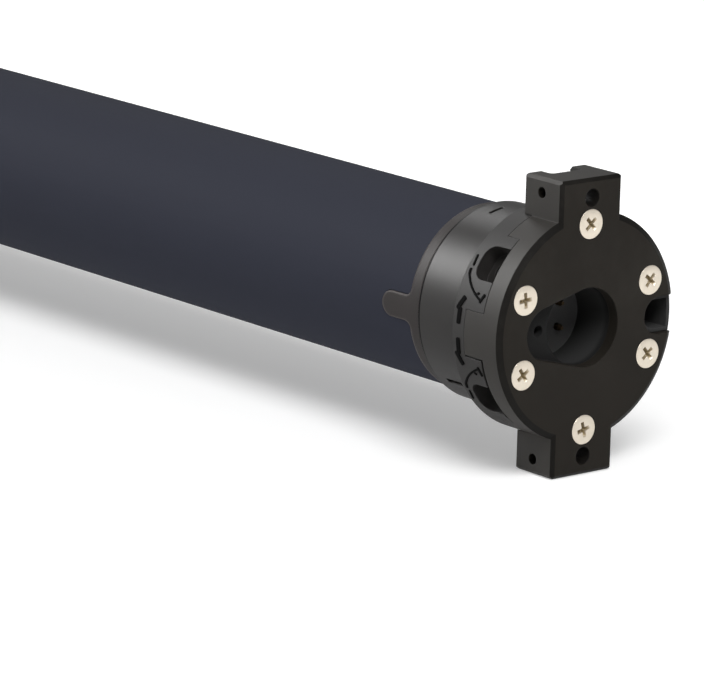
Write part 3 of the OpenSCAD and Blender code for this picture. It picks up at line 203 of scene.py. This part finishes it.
def soft_box(name, azimuth, height, distance, size, power, only_shine=False):
    """Area light in a direction from the head, turned to face it."""
    azimuth = math.radians(azimuth)
    height = math.radians(height)
    level = math.cos(height)
    towards = Vector((math.cos(azimuth) * level, math.sin(azimuth) * level, math.sin(height)))
    data = bpy.data.lights.new(name, "AREA")
    data.shape = "RECTANGLE"
    data.size, data.size_y = size
    data.energy = power
    lamp = bpy.data.objects.new(name, data)
    lamp.location = towards * distance
    lamp.rotation_mode = "QUATERNION"
    lamp.rotation_quaternion = towards.to_track_quat("Z", "Y")
    lamp.visible_camera = False
    lamp.visible_diffuse = not only_shine
    bpy.context.scene.collection.objects.link(lamp)


soft_box("key_box", azimuth=-27, height=51, distance=2.2, size=(1.2, 1.0), power=44)
soft_box("side_box", azimuth=-146, height=30, distance=1.6, size=(0.6, 0.7), power=33, only_shine=True)
soft_box("fill_box", azimuth=-112, height=10, distance=2.0, size=(1.4, 0.6), power=9)
soft_box("back_box", azimuth=157, height=38, distance=1.6, size=(0.5, 0.35), power=4.0, only_shine=True)


# Front cover
# Round plate with two mounting lugs, moulded in glass-filled black nylon with a fine spark-eroded
# grain. Six screws hold it to the head body.
def new_finish(name):
    """A new material: its Principled shader and a wire to grow nodes from."""
    material = bpy.data.materials.new(name)
    material.use_nodes = True
    return material, material.node_tree.nodes["Principled BSDF"], Wire(material.node_tree)


def blend_colours(wire, share, first, second):
    """The first colour where the share is low, the second where it is high."""
    return wire.node("Mix", {"data_type": "RGBA"}, {0: share, 6: first, 7: second}, output=2)


def shade(colour, factor):
    """A colour made lighter or darker, with full alpha."""
    return tuple(min(1.0, part * factor) for part in colour[:3]) + (1.0,)


def soft_edge(wire, radius, full_turn=0.2):
    """Rounded normal at the edges, and a mask that is high there."""
    rounded = wire.node("Bevel", {"samples": 6}, {"Radius": radius})
    flat = wire.node("NewGeometry", output="Normal")
    level = wire.node("VectorMath", {"operation": "DOT_PRODUCT"}, {0: rounded, 1: flat}, output="Value")
    edge = (1 - level).ramp(0.0, full_turn)
    return rounded, edge


def moulded(name, colour, rough, gloss=0.3, grain=0.00035, relief=0.00002, edge_radius=0.00035, edge_wear_and_highlight=1.5):
    """Moulded plastic: cloudy tone, fine eroded grain, rounded edges with a tone of their own, for wear and, where
    it is strong, painted highlight.
    """
    material, shader, wire = new_finish(name)
    place = wire.node("TexCoord", output="Object")
    cloud = wire.node("TexNoise", inputs={"Vector": place, "Scale": 70.0, "Detail": 4.0})
    pits = wire.node("TexNoise", inputs={"Vector": place, "Scale": 1 / grain, "Detail": 3.0})
    rounded, edge = soft_edge(wire, edge_radius)
    tone = blend_colours(wire, cloud, shade(colour, 0.82), shade(colour, 1.18))
    wire.feed(shader.inputs["Base Color"], blend_colours(wire, edge * 0.8, tone, shade(colour, edge_wear_and_highlight)))
    wire.feed(shader.inputs["Roughness"], rough - 0.05 + 0.06 * cloud + 0.08 * pits)
    bump = wire.node("Bump", inputs={"Strength": 0.35, "Distance": relief, "Height": pits, "Normal": rounded})
    wire.feed(shader.inputs["Normal"], bump)
    shader.inputs["Specular IOR Level"].default_value = gloss
    return material


def dress(material, *names):
    """Gives CAD nodes a finish."""
    for name in names:
        slots = nodes[name].data.materials
        slots.clear()
        slots.append(material)


def repaint(material, share, colour):
    """Lays another colour over a finish where the share is high."""
    base = material.node_tree.nodes["Principled BSDF"].inputs["Base Color"]
    under = Wire(material.node_tree, base.links[0].from_socket)
    under.feed(base, blend_colours(under, share, under, colour))


cover_colour = (0.0135, 0.0111, 0.0083)
shaded_bevel_colour = shade(cover_colour, 0.3)
hole_shade_colour = shade(cover_colour, 0.4)
dust_and_top_light_colour = (0.026, 0.0235, 0.0195, 1)
TOP_LIGHT_FROM = -0.028
TOP_LIGHT_FULL = 0.012
DUST_SHARE = 0.6
HOLE_EDGE = 0.0001
SIDE_COAT = 0.3
SIDE_COAT_ROUGH = 0.55
cover_nylon = moulded("cover_nylon", cover_colour, rough=0.55, gloss=0.13, edge_wear_and_highlight=1.0)
wire = Wire(cover_nylon.node_tree)
slope = wire.node("NewGeometry", output="True Normal").axis("X")
# Painted shade and reflection: the chamfer round the face is coloured darker than the face.
on_bevel = slope.ramp(0.15, 0.3) * slope.ramp(0.98, 0.93)
repaint(cover_nylon, on_bevel, shaded_bevel_colour)
# Dust smears over the face, with painted light: they fade out downwards, so the face is lighter at the top and
# darker at the bottom.
place = wire.node("TexCoord", output="Object")
smear = wire.node("TexNoise", inputs={"Vector": place, "Scale": 55.0, "Detail": 6.0, "Roughness": 0.65})
lighter_to_top = place.axis("Z").ramp(TOP_LIGHT_FROM, TOP_LIGHT_FULL, kind="SMOOTHSTEP")
repaint(cover_nylon, smear.ramp(0.42, 0.72, DUST_SHARE) * lighter_to_top, dust_and_top_light_colour)
# Painted shade: the walls of the two bracket holes are coloured darker.
bracket = next(mount["dims"] for mount in frame["record"]["mounts"] if mount["name"] == "bracket_holes")
hole_height = bracket["spacing_y_mm"] / 2000
hole_r = bracket["hole_r_mm"] / 1000
above_hole = abs(place.axis("Z")) - hole_height
beside_hole = place.axis("Y")
from_hole = wire.sum("POWER", beside_hole * beside_hole + above_hole * above_hole, 0.5)
repaint(cover_nylon, from_hole.ramp(hole_r + HOLE_EDGE, hole_r), hole_shade_colour)
shader = cover_nylon.node_tree.nodes["Principled BSDF"]
wire.feed(shader.inputs["Coat Weight"], slope.ramp(0.3, 0.1, SIDE_COAT))
shader.inputs["Coat Roughness"].default_value = SIDE_COAT_ROUGH
dress(cover_nylon, "front_cover")

# Head body
# Drum behind the cover, moulded in the same nylon. Its side has two windows for the limit
# adjusters, and arrows beside them that show which way to turn. The arrows are drawn as thin raised
# strokes in near black, painted shade for the shadows along their edges.
body_colour = (0.0165, 0.0152, 0.0145)
body_nylon = moulded("body_nylon", body_colour, rough=0.55, gloss=0.25, edge_wear_and_highlight=1.1)
HEAD_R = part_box("head_body")[1][1]
INSIDE_FROM = 0.0006
INSIDE_FULL = 0.0012
wire = Wire(body_nylon.node_tree)
place = wire.node("TexCoord", output="Object")
across = wire.node("VectorMath", {"operation": "MULTIPLY"}, {0: place, 1: (0, 1, 1)})
radius = wire.node("VectorMath", {"operation": "LENGTH"}, {0: across}, output="Value")
# Painted light: inside the windows the drum is coloured lighter, lifting their shade.
inside = radius.ramp(HEAD_R - INSIDE_FROM, HEAD_R - INSIDE_FULL)
repaint(body_nylon, inside, shade(body_colour, 1.3))
dress(body_nylon, "head_body")

MARK_HEIGHT = 0.00018
MARK_ANGLE = 160
SHEET_R = 1.2 * HEAD_R
ARROW_W = 0.0012
TURN_W = 0.0005
# Each stroke: its width, then its two ends as mm behind the face and degrees round the axis.
straight_marks = [
    (ARROW_W, (14.1, 168.9), (14.1, 175.9)), (ARROW_W, (14.9, 168.9), (13.3, 163.3)),
    (TURN_W, (14.7, 141.6), (14.4, 147.0)), (TURN_W * 1.3, (14.7, 149.0), (14.5, 151.4)),
    (TURN_W * 1.3, (7.1, 159.6), (8.1, 163.6)), (TURN_W, (9.6, 160.0), (9.1, 159.5)),
]
TURN_CENTRE = (3.05, 135.4)
TURN_R = 0.0136
TURN_FROM = 31
TURN_TO = 69


def on_sheet(depth, angle):
    """Place on a flat sheet beside the head, for a depth in mm and an angle in degrees."""
    return Vector((-depth / 1000, HEAD_R * math.sin(math.radians(MARK_ANGLE - angle)), 0))


def edit_all(select="SELECT"):
    """Opens the active piece for editing, with all of it selected or nothing."""
    bpy.ops.object.mode_set(mode="EDIT")
    bpy.ops.mesh.select_all(action=select)


def straight_stroke(width, start, end):
    """A strip from point to point with rounded corners, cut across so that it can bend."""
    start = on_sheet(*start)
    end = on_sheet(*end)
    along = end - start
    bpy.ops.object.select_all(action="DESELECT")
    heading = math.atan2(along.y, along.x)
    bpy.ops.mesh.primitive_plane_add(size=1, location=(start + end) / 2, rotation=(0, 0, heading))
    bpy.context.object.scale = (along.length + width / 2, width, 1)
    bpy.ops.object.transform_apply(location=True, rotation=True, scale=True)
    edit_all()
    bpy.ops.mesh.bevel(offset=width * 0.3, segments=3, affect="VERTICES")
    bpy.ops.mesh.quads_convert_to_tris()
    bpy.ops.mesh.subdivide(number_cuts=2)
    bpy.ops.object.mode_set(mode="OBJECT")
    return bpy.context.object


def turn_stroke(width, steps=144):
    """Part of a ring round the window's corner: an arc of a circle, drawn out to its width."""
    centre = on_sheet(*TURN_CENTRE)
    bpy.ops.object.select_all(action="DESELECT")
    bpy.ops.mesh.primitive_circle_add(vertices=steps, radius=TURN_R - width / 2, location=centre)
    bpy.ops.object.transform_apply(location=True)
    piece = bpy.context.object
    edit_all("DESELECT")
    bpy.ops.object.mode_set(mode="OBJECT")
    for point in piece.data.vertices:
        off = point.co - centre
        turn = math.degrees(math.atan2(-off.y, -off.x)) % 360
        point.select = not TURN_FROM <= turn <= TURN_TO
    bpy.ops.object.mode_set(mode="EDIT")
    bpy.ops.mesh.delete(type="VERT")
    bpy.ops.mesh.select_all(action="SELECT")
    bpy.ops.mesh.extrude_region_move()
    grown = (TURN_R + width / 2) / (TURN_R - width / 2)
    bpy.ops.transform.resize(value=(grown, grown, 1), center_override=centre)
    bpy.ops.object.mode_set(mode="OBJECT")
    return piece


def finish_modifier(kind, **settings):
    """Adds a modifier to the active piece and applies it."""
    modifier = bpy.context.object.modifiers.new(kind.lower(), kind)
    for name, value in settings.items():
        setattr(modifier, name, value)
    bpy.ops.object.modifier_apply(modifier=modifier.name)


strokes = [straight_stroke(*mark) for mark in straight_marks] + [turn_stroke(TURN_W)]
bpy.ops.object.select_all(action="DESELECT")
for stroke in strokes:
    stroke.select_set(True)
bpy.context.view_layer.objects.active = strokes[0]
bpy.ops.object.join()
marks = bpy.context.object
marks.name = "turn_marks"
mark_turn = math.radians(MARK_ANGLE)
marks.rotation_euler = (mark_turn - math.pi / 2, 0, 0)
marks.location = SHEET_R * Vector((0, math.cos(mark_turn), math.sin(mark_turn)))
finish_modifier("SHRINKWRAP", target=nodes["head_body"], wrap_method="PROJECT", use_project_z=True,
                use_positive_direction=False, use_negative_direction=True)
finish_modifier("SOLIDIFY", thickness=2 * MARK_HEIGHT, offset=0)
bpy.ops.object.transform_apply(location=True, rotation=True)
edit_all()
bpy.ops.mesh.duplicate()
bpy.ops.transform.resize(value=(1, 1, -1), center_override=(0, 0, 0))
bpy.ops.mesh.flip_normals()
bpy.ops.object.mode_set(mode="OBJECT")
bpy.ops.object.shade_smooth_by_angle(angle=math.radians(30))
# Near black: painted shade for the arrows.
marks.data.materials.append(moulded("shaded_marks", (0.003, 0.003, 0.003), rough=0.7, gloss=0.03, edge_wear_and_highlight=1.0))
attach(marks, "housing")

# Cable socket, its pins and the outlet rubber
# The socket is a deep moulding behind the pear-shaped recess, with four dull bronze pins. Deep in it
# the walls are coloured darker and the base lighter, painted shade and painted light that even out its
# lit walls and shaded base. A rubber cup lines the outlet notch at the rim.
SOCKET_DEEP_FROM = -0.0037
SOCKET_DEEP_FULL = -0.005
painted_dark_wall = (0.03, 0.03, 0.03, 1)
painted_light_base = (0.085, 0.085, 0.085, 1)
socket_nylon = moulded("socket_nylon", (0.014, 0.014, 0.014), rough=0.7, gloss=0.1)
wire = Wire(socket_nylon.node_tree)
deep = wire.node("TexCoord", output="Object").axis("X").ramp(SOCKET_DEEP_FROM, SOCKET_DEEP_FULL)
level = wire.node("NewGeometry", output="True Normal").axis("X").ramp(0.3, 0.7)
# Painted shade on the deep walls, painted light on the deep base.
repaint(socket_nylon, deep, painted_dark_wall)
repaint(socket_nylon, deep * level, painted_light_base)
dress(socket_nylon, "cable_socket")
dress(moulded("outlet_rubber", (0.04, 0.04, 0.04), rough=0.8, gloss=0.1, edge_wear_and_highlight=1.2), "outlet_grommet")


def metal(name, colour, rough, lay=(1, 1, 1), scale=900.0, stain=0.85, relief=0.00001):
    """Bare metal: fine marks that run along one direction, and a faint uneven stain."""
    material, shader, wire = new_finish(name)
    place = wire.node("TexCoord", output="Object")
    stretched = wire.node("Mapping", inputs={"Vector": place, "Scale": lay})
    marks = wire.node("TexNoise", inputs={"Vector": stretched, "Scale": scale, "Detail": 4.0})
    cloud = wire.node("TexNoise", inputs={"Vector": place, "Scale": 120.0, "Detail": 3.0})
    tone = blend_colours(wire, cloud, shade(colour, stain), shade(colour, 1.08))
    wire.feed(shader.inputs["Base Color"], tone)
    wire.feed(shader.inputs["Roughness"], rough - 0.06 + 0.12 * marks)
    wire.feed(shader.inputs["Normal"],
              wire.node("Bump", inputs={"Strength": 0.3, "Distance": relief, "Height": marks}))
    shader.inputs["Metallic"].default_value = 1.0
    return material


dress(metal("dull_bronze", (0.12, 0.085, 0.05), rough=0.5, lay=(1, 0.1, 0.1)), "socket_pins")

# Limit adjusters
# Two black nylon screws with a hexagon socket, set in the floors of the windows. A key turns them to
# set where the blind stops.
dress(moulded("adjuster_nylon", (0.014, 0.014, 0.014), rough=0.5), "limit_adjuster_up", "limit_adjuster_down")

# Cover screws
# Six countersunk steel screws with a cross recess, plated in bright nickel. The recess is painted dark
# and dull as shade, and the driver has left it at a different turn on each.
screw_low, screw_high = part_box("cover_screws")
SCREW_LENGTH = screw_high[0] - screw_low[0]
SCREW_SHANK_R = 0.0015
SCREW_HEAD_R = 0.00355
SCREW_HEAD_H = 0.0021
SCREW_RIM = 0.00016
RECESS_DEPTH = 0.0015
RECESS_HALF_LENGTH = 0.002
RECESS_HALF_WIDTH = 0.0005
RECESS_TAPER = 0.5
RECESS_SHADE_FROM = -0.0001
RECESS_SHADE_FULL = -0.0006
SAME_PLACE = 1e-6
TOP_SCREW_Z = screw_high[2] - SCREW_HEAD_R
SIDE_SCREW_Y = screw_high[1] - SCREW_HEAD_R
SIDE_SCREW_Z = 0.0088
screw_turns = {
    (0, TOP_SCREW_Z): 42,
    (0, -TOP_SCREW_Z): 14,
    (SIDE_SCREW_Y, SIDE_SCREW_Z): 50,
    (SIDE_SCREW_Y, -SIDE_SCREW_Z): 40,
    (-SIDE_SCREW_Y, SIDE_SCREW_Z): 5,
    (-SIDE_SCREW_Y, -SIDE_SCREW_Z): 33,
}


def draw_back(depth, end, share):
    """Extrudes the selected face away from the cover to a depth, and scales it there."""
    bpy.ops.mesh.extrude_region_move(TRANSFORM_OT_translate={"value": (-depth, 0, 0)})
    bpy.ops.transform.resize(value=(1, share, share), center_override=(-end, 0, 0))


def recess_wing(turn):
    """One bar of the cross recess: a block with its inner end drawn in."""
    bpy.ops.object.select_all(action="DESELECT")
    bpy.ops.mesh.primitive_cube_add(size=1, location=(-RECESS_DEPTH / 2 + SCREW_RIM, 0, 0))
    bpy.context.object.scale = (RECESS_DEPTH, 2 * RECESS_HALF_LENGTH, 2 * RECESS_HALF_WIDTH)
    bpy.ops.object.transform_apply(location=True, rotation=True, scale=True)
    wing = bpy.context.object
    edit_all("DESELECT")
    bpy.ops.object.mode_set(mode="OBJECT")
    for face in wing.data.polygons:
        face.select = face.normal.x < -0.5
    bpy.ops.object.mode_set(mode="EDIT")
    bpy.ops.transform.resize(value=(1, RECESS_TAPER, RECESS_TAPER), center_override=(-RECESS_DEPTH, 0, 0))
    bpy.ops.object.mode_set(mode="OBJECT")
    wing.rotation_euler.x = turn
    bpy.ops.object.transform_apply(rotation=True)
    return wing


bpy.ops.object.select_all(action="DESELECT")
bpy.ops.mesh.primitive_circle_add(
    vertices=64, radius=SCREW_HEAD_R, fill_type="NGON", rotation=(0, math.pi / 2, 0))
bpy.ops.object.transform_apply(rotation=True)
screw = bpy.context.object
edit_all()
draw_back(SCREW_RIM, SCREW_RIM, 1)
draw_back(SCREW_HEAD_H - SCREW_RIM, SCREW_HEAD_H, SCREW_SHANK_R / SCREW_HEAD_R)
draw_back(SCREW_LENGTH - SCREW_HEAD_H - SCREW_SHANK_R / 2, SCREW_LENGTH - SCREW_SHANK_R / 2, 1)
draw_back(SCREW_SHANK_R / 2, SCREW_LENGTH, 0.5)
bpy.ops.mesh.select_all(action="SELECT")
bpy.ops.mesh.normals_make_consistent(inside=False)
bpy.ops.mesh.select_all(action="DESELECT")
bpy.ops.object.mode_set(mode="OBJECT")
for edge in screw.data.edges:
    edge.select = all(abs(screw.data.vertices[corner].co.x) < SAME_PLACE for corner in edge.vertices)
bpy.ops.object.mode_set(mode="EDIT")
bpy.ops.mesh.select_mode(type="EDGE")
bpy.ops.mesh.bevel(offset=SCREW_RIM * 0.8, segments=3)
bpy.ops.object.mode_set(mode="OBJECT")
for turn in (0, math.pi / 2):
    wing = recess_wing(turn)
    bpy.ops.object.select_all(action="DESELECT")
    bpy.context.view_layer.objects.active = screw
    finish_modifier("BOOLEAN", operation="DIFFERENCE", object=wing)
    bpy.data.objects.remove(wing)
copies = []
for (y, z), turn in screw_turns.items():
    bpy.ops.object.select_all(action="DESELECT")
    screw.select_set(True)
    bpy.ops.object.duplicate()
    copy = bpy.context.selected_objects[0]
    copy.location = (0, y, z)
    copy.rotation_euler.x = math.radians(turn)
    bpy.ops.object.transform_apply(location=True, rotation=True)
    copies.append(copy)
bpy.data.objects.remove(screw)
bpy.ops.object.select_all(action="DESELECT")
for copy in copies:
    copy.select_set(True)
bpy.context.view_layer.objects.active = copies[0]
bpy.ops.object.join()
bpy.ops.object.shade_smooth_by_angle(angle=math.radians(30))
screws = bpy.context.object
screws.name = "cross_screws"


def plated_screw(name, colour, recess_shade):
    """Plated steel: bright and finely scratched on top, dull and dark in the recess as painted shade."""
    material, shader, wire = new_finish(name)
    place = wire.node("TexCoord", output="Object")
    cloud = wire.node("TexNoise", inputs={"Vector": place, "Scale": 900.0, "Detail": 4.0})
    scratches = wire.node("TexNoise", inputs={"Vector": place, "Scale": 5000.0, "Detail": 2.0})
    hidden = place.axis("X").ramp(RECESS_SHADE_FROM, RECESS_SHADE_FULL)
    tone = blend_colours(wire, cloud, shade(colour, 0.9), shade(colour, 1.05))
    wire.feed(shader.inputs["Base Color"], blend_colours(wire, hidden, tone, recess_shade))
    wire.feed(shader.inputs["Roughness"], 0.34 + 0.1 * cloud + 0.06 * scratches + 0.25 * hidden)
    wire.feed(shader.inputs["Metallic"], 1.0 - 0.6 * hidden)
    rounded = soft_edge(wire, 0.00015)[0]
    wire.feed(shader.inputs["Normal"], wire.node("Bump", inputs={
        "Strength": 0.2, "Distance": 0.00001, "Height": scratches, "Normal": rounded}))
    return material


# The second colour is painted shade in the cross recess.
screws.data.materials.append(plated_screw("screw_nickel", (0.725, 0.655, 0.55), (0.42, 0.345, 0.215, 1)))
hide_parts("cover_screws")
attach(screws, "housing")

# Crown
# Ring that turns with the blind's tube, moulded in smoother black acetal, so it shines more than the
# head. It has small slots for the adapter's tabs, and its rear edge is painted near black and dull,
# painted shade for the gap to the collar.
crown_colour = (0.0172, 0.0158, 0.0149)
gap_shade_colour = (0.0012, 0.001, 0.001, 1)
GAP_SHADE_WIDTH = 0.001
GAP_SHADE_CORE = 0.0008
crown_acetal = moulded("crown_acetal", crown_colour, rough=0.4, gloss=0.2, grain=0.0006,
                       relief=0.00001, edge_wear_and_highlight=1.2)
crown_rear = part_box("crown_ring")[0][0]
wire = Wire(crown_acetal.node_tree)
depth = wire.node("TexCoord", output="Object").axis("X")
gap_shaded = depth.ramp(crown_rear + GAP_SHADE_WIDTH, crown_rear + GAP_SHADE_CORE)
repaint(crown_acetal, gap_shaded, gap_shade_colour)
# Metallic there, with the near-black colour, takes the sheen off the painted shade.
wire.feed(crown_acetal.node_tree.nodes["Principled BSDF"].inputs["Metallic"], gap_shaded)
dress(crown_acetal, "crown_ring")

# Tube collar
# Fixed flange and plug between the crown and the tube, in the head's nylon. A tongue on it fits a
# notch in the tube and keeps it from turning. Three screws inside hold it to the head.
collar_colour = (0.0255, 0.0214, 0.0206)
# Its edges are coloured much lighter: painted highlight along the flange and the tongue.
collar_nylon = moulded("collar_nylon", collar_colour, rough=0.5, gloss=0.16, edge_radius=0.001, edge_wear_and_highlight=4.5)
dress(collar_nylon, "tube_collar")
zinc = metal("zinc_steel", (0.38, 0.385, 0.39), rough=0.52, scale=1200.0)
dress(zinc, "collar_screws", "tube_screws", "output_circlip")

# Motor tube
# Thin steel tube, 45 mm across, powder coated in a matte blue anthracite. Four screws near its end
# hold the gearbox.
tube_colour = (0.0312, 0.0337, 0.0478)


def powder_coat(name, colour):
    """Powder coating: faint clouds, a fine pebbled skin, edges in a lighter tone."""
    material, shader, wire = new_finish(name)
    place = wire.node("TexCoord", output="Object")
    cloud = wire.node("TexNoise", inputs={"Vector": place, "Scale": 25.0, "Detail": 5.0})
    peel = wire.node("TexNoise", inputs={"Vector": place, "Scale": 1400.0, "Detail": 2.0})
    rounded, edge = soft_edge(wire, 0.0003)
    tone = blend_colours(wire, cloud, shade(colour, 0.93), shade(colour, 1.07))
    wire.feed(shader.inputs["Base Color"], blend_colours(wire, edge * 0.8, tone, shade(colour, 1.6)))
    wire.feed(shader.inputs["Roughness"], 0.6 + 0.1 * cloud + 0.08 * peel)
    wire.feed(shader.inputs["Normal"], wire.node("Bump", inputs={
        "Strength": 0.3, "Distance": 0.00002, "Height": peel, "Normal": rounded}))
    shader.inputs["Specular IOR Level"].default_value = 0.03
    shader.inputs["Sheen Weight"].default_value = 0.02
    return material


dress(powder_coat("tube_coat", tube_colour), "motor_tube")

# Leads
# Insulated copper leads in brown PVC. Four run from the socket's pins to the board, and three from
# the board to the motor.
lead_sleeve = moulded("lead_sleeve", (0.12, 0.05, 0.025), rough=0.4, gloss=0.5, edge_wear_and_highlight=1.2)
dress(lead_sleeve, "inlet_leads", "motor_leads")

# Limit unit
# Nylon frame and pinion, two steel spindles and two orange nuts that travel along them until they
# press a switch.
natural_nylon = moulded("natural_nylon", (0.72, 0.69, 0.6), rough=0.45, gloss=0.4, edge_wear_and_highlight=1.1)
dress(natural_nylon, "limit_frame", "limit_pinion")
ground_steel = metal("ground_steel", (0.66, 0.67, 0.68), rough=0.28, lay=(0.1, 1, 1))
dress(ground_steel, "limit_spindle_up", "limit_spindle_down")
orange_nylon = moulded("orange_nylon", (0.55, 0.1, 0.03), rough=0.42, gloss=0.4, edge_wear_and_highlight=1.2)
dress(orange_nylon, "limit_nut_up", "limit_nut_down")
dress(moulded("switch_case", (0.04, 0.04, 0.042), rough=0.45), "limit_switches")

# Control board
# Carrier of grey plastic with a green lacquered board in its rails, terminals, two relays, a small
# transformer and a radio module under a tinned can.
grey_plastic = moulded("grey_plastic", (0.075, 0.075, 0.08), rough=0.5)
dress(grey_plastic, "board_carrier", "capacitor_rings")


def lacquered_board(name):
    """Green lacquer over a pattern of tracks."""
    material, shader, wire = new_finish(name)
    place = wire.node("TexCoord", output="Object")
    tracks = wire.node("TexBrick", {"offset": 0.37}, {
        "Vector": place, "Scale": 260.0, "Mortar Size": 0.06, "Color1": (0.02, 0.1, 0.035, 1),
        "Color2": (0.025, 0.12, 0.045, 1), "Mortar": (0.06, 0.24, 0.09, 1)})
    wire.feed(shader.inputs["Base Color"], tracks)
    cloud = wire.node("TexNoise", inputs={"Vector": place, "Scale": 300.0})
    wire.feed(shader.inputs["Roughness"], 0.22 + 0.1 * cloud)
    return material


dress(lacquered_board("board_lacquer"), "control_board")
dress(moulded("terminal_green", (0.03, 0.2, 0.08), rough=0.4, gloss=0.4, edge_wear_and_highlight=1.2), "terminal_block")
dress(moulded("relay_blue", (0.025, 0.07, 0.26), rough=0.3, gloss=0.5, edge_wear_and_highlight=1.2), "relays")
dress(metal("tinned_can", (0.62, 0.63, 0.65), rough=0.3), "radio_module")
dress(moulded("yellow_tape", (0.68, 0.44, 0.06), rough=0.35, gloss=0.5, edge_wear_and_highlight=1.1), "board_transformer")

# Run capacitor
# White plastic can that shifts the motor's second phase. Two rings in the board carrier's grey
# plastic hold it.
dress(moulded("white_can", (0.76, 0.76, 0.73), rough=0.35, gloss=0.5, edge_wear_and_highlight=1.05), "run_capacitor")

# Motor
# Two die-cast shields carry ball bearings. Between them sit the stacked stator plates with their
# copper winding, and the rotor on its ground shaft.
die_cast = metal("die_cast", (0.5, 0.51, 0.52), rough=0.52, scale=500.0, relief=0.00003)
dress(die_cast, "motor_front_shield", "motor_rear_shield", "brake_housing", "gearbox_plate")


WAVE_RATE = 20


def banded(name, colour, period, rough, metallic):
    """Metal with close bands along the axis: stacked plates, or turns of wire."""
    material, shader, wire = new_finish(name)
    place = wire.node("TexCoord", output="Object")
    bands = wire.node("TexWave", {"bands_direction": "X"},
                      {"Vector": place, "Scale": math.tau / WAVE_RATE / period, "Distortion": 0.4})
    wire.feed(shader.inputs["Base Color"], blend_colours(wire, bands, shade(colour, 0.6), shade(colour, 1.1)))
    wire.feed(shader.inputs["Roughness"], rough + 0.12 * bands)
    wire.feed(shader.inputs["Normal"], wire.node("Bump", inputs={
        "Strength": 0.5, "Distance": 0.0001, "Height": bands}))
    shader.inputs["Metallic"].default_value = metallic
    return material


dress(banded("stacked_plates", (0.3, 0.3, 0.31), 0.0005, 0.45, 1.0),
      "stator_core", "rotor_core", "brake_magnet", "brake_armature")
dress(banded("enamelled_wire", (0.52, 0.2, 0.06), 0.0006, 0.28, 0.8), "stator_winding", "brake_coil")
dress(ground_steel, "rotor_shaft", "rotor_bearings", "output_carrier")

# Brake
# A spring presses the armature on a brown friction disc on the rotor shaft, and the coil lifts it.
# The spring is wound from round steel wire.
friction_lining = moulded("friction_lining", (0.13, 0.075, 0.05), rough=0.8, gloss=0.2,
                          grain=0.0008, edge_wear_and_highlight=1.2)
dress(friction_lining, "brake_disc")
SPRING_TURNS = 6
SPRING_STEPS = 32
SPRING_WIRE_R = 0.0005
spring_low, spring_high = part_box("brake_spring")
spring_length = spring_high[0] - spring_low[0]
spring_pitch = (spring_length - 2 * SPRING_WIRE_R) / SPRING_TURNS
armature_lift = next(joint["range_m"][1] for joint in frame["joints"] if joint["name"] == "brake_release")
bpy.ops.object.select_all(action="DESELECT")
bpy.ops.mesh.primitive_circle_add(vertices=12, radius=SPRING_WIRE_R, location=(
    spring_high[0] - SPRING_WIRE_R, spring_high[1] - SPRING_WIRE_R, 0))
bpy.ops.object.transform_apply(location=True)
spring = bpy.context.object
spring.name = "wound_spring"
finish_modifier("SCREW", axis="X", screw_offset=-spring_pitch, iterations=SPRING_TURNS,
                steps=SPRING_STEPS, render_steps=SPRING_STEPS)
edit_all()
bpy.ops.mesh.fill_holes(sides=0)
bpy.ops.mesh.normals_make_consistent(inside=False)
bpy.ops.object.mode_set(mode="OBJECT")
bpy.ops.object.shade_smooth_by_angle(angle=math.radians(40))
spring.data.materials.append(ground_steel)
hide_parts("brake_spring")
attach(spring, "housing")
1 - armature_lift / spring_length
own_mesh(spring)

# Gearbox
# Three planetary stages of sintered steel in one toothed housing. The last carrier is the output
# shaft, which runs in a brass bush.
sintered = metal("sintered_steel", (0.34, 0.35, 0.36), rough=0.48, scale=700.0, relief=0.00002)
dress(sintered, "gearbox_housing", "carrier_1", "carrier_2",
      *["planet_" + stage + place for stage in "123" for place in "abc"])
dress(metal("turned_brass", (0.78, 0.56, 0.24), rough=0.3, lay=(1, 0.1, 0.1)), "output_bush")

# End cap
# Black nylon cap that closes the tube behind the gearbox. Its plug has pockets, and the output shaft
# passes through its middle.
dress(moulded("cap_nylon", (0.02, 0.019, 0.019), rough=0.48), "output_cap")
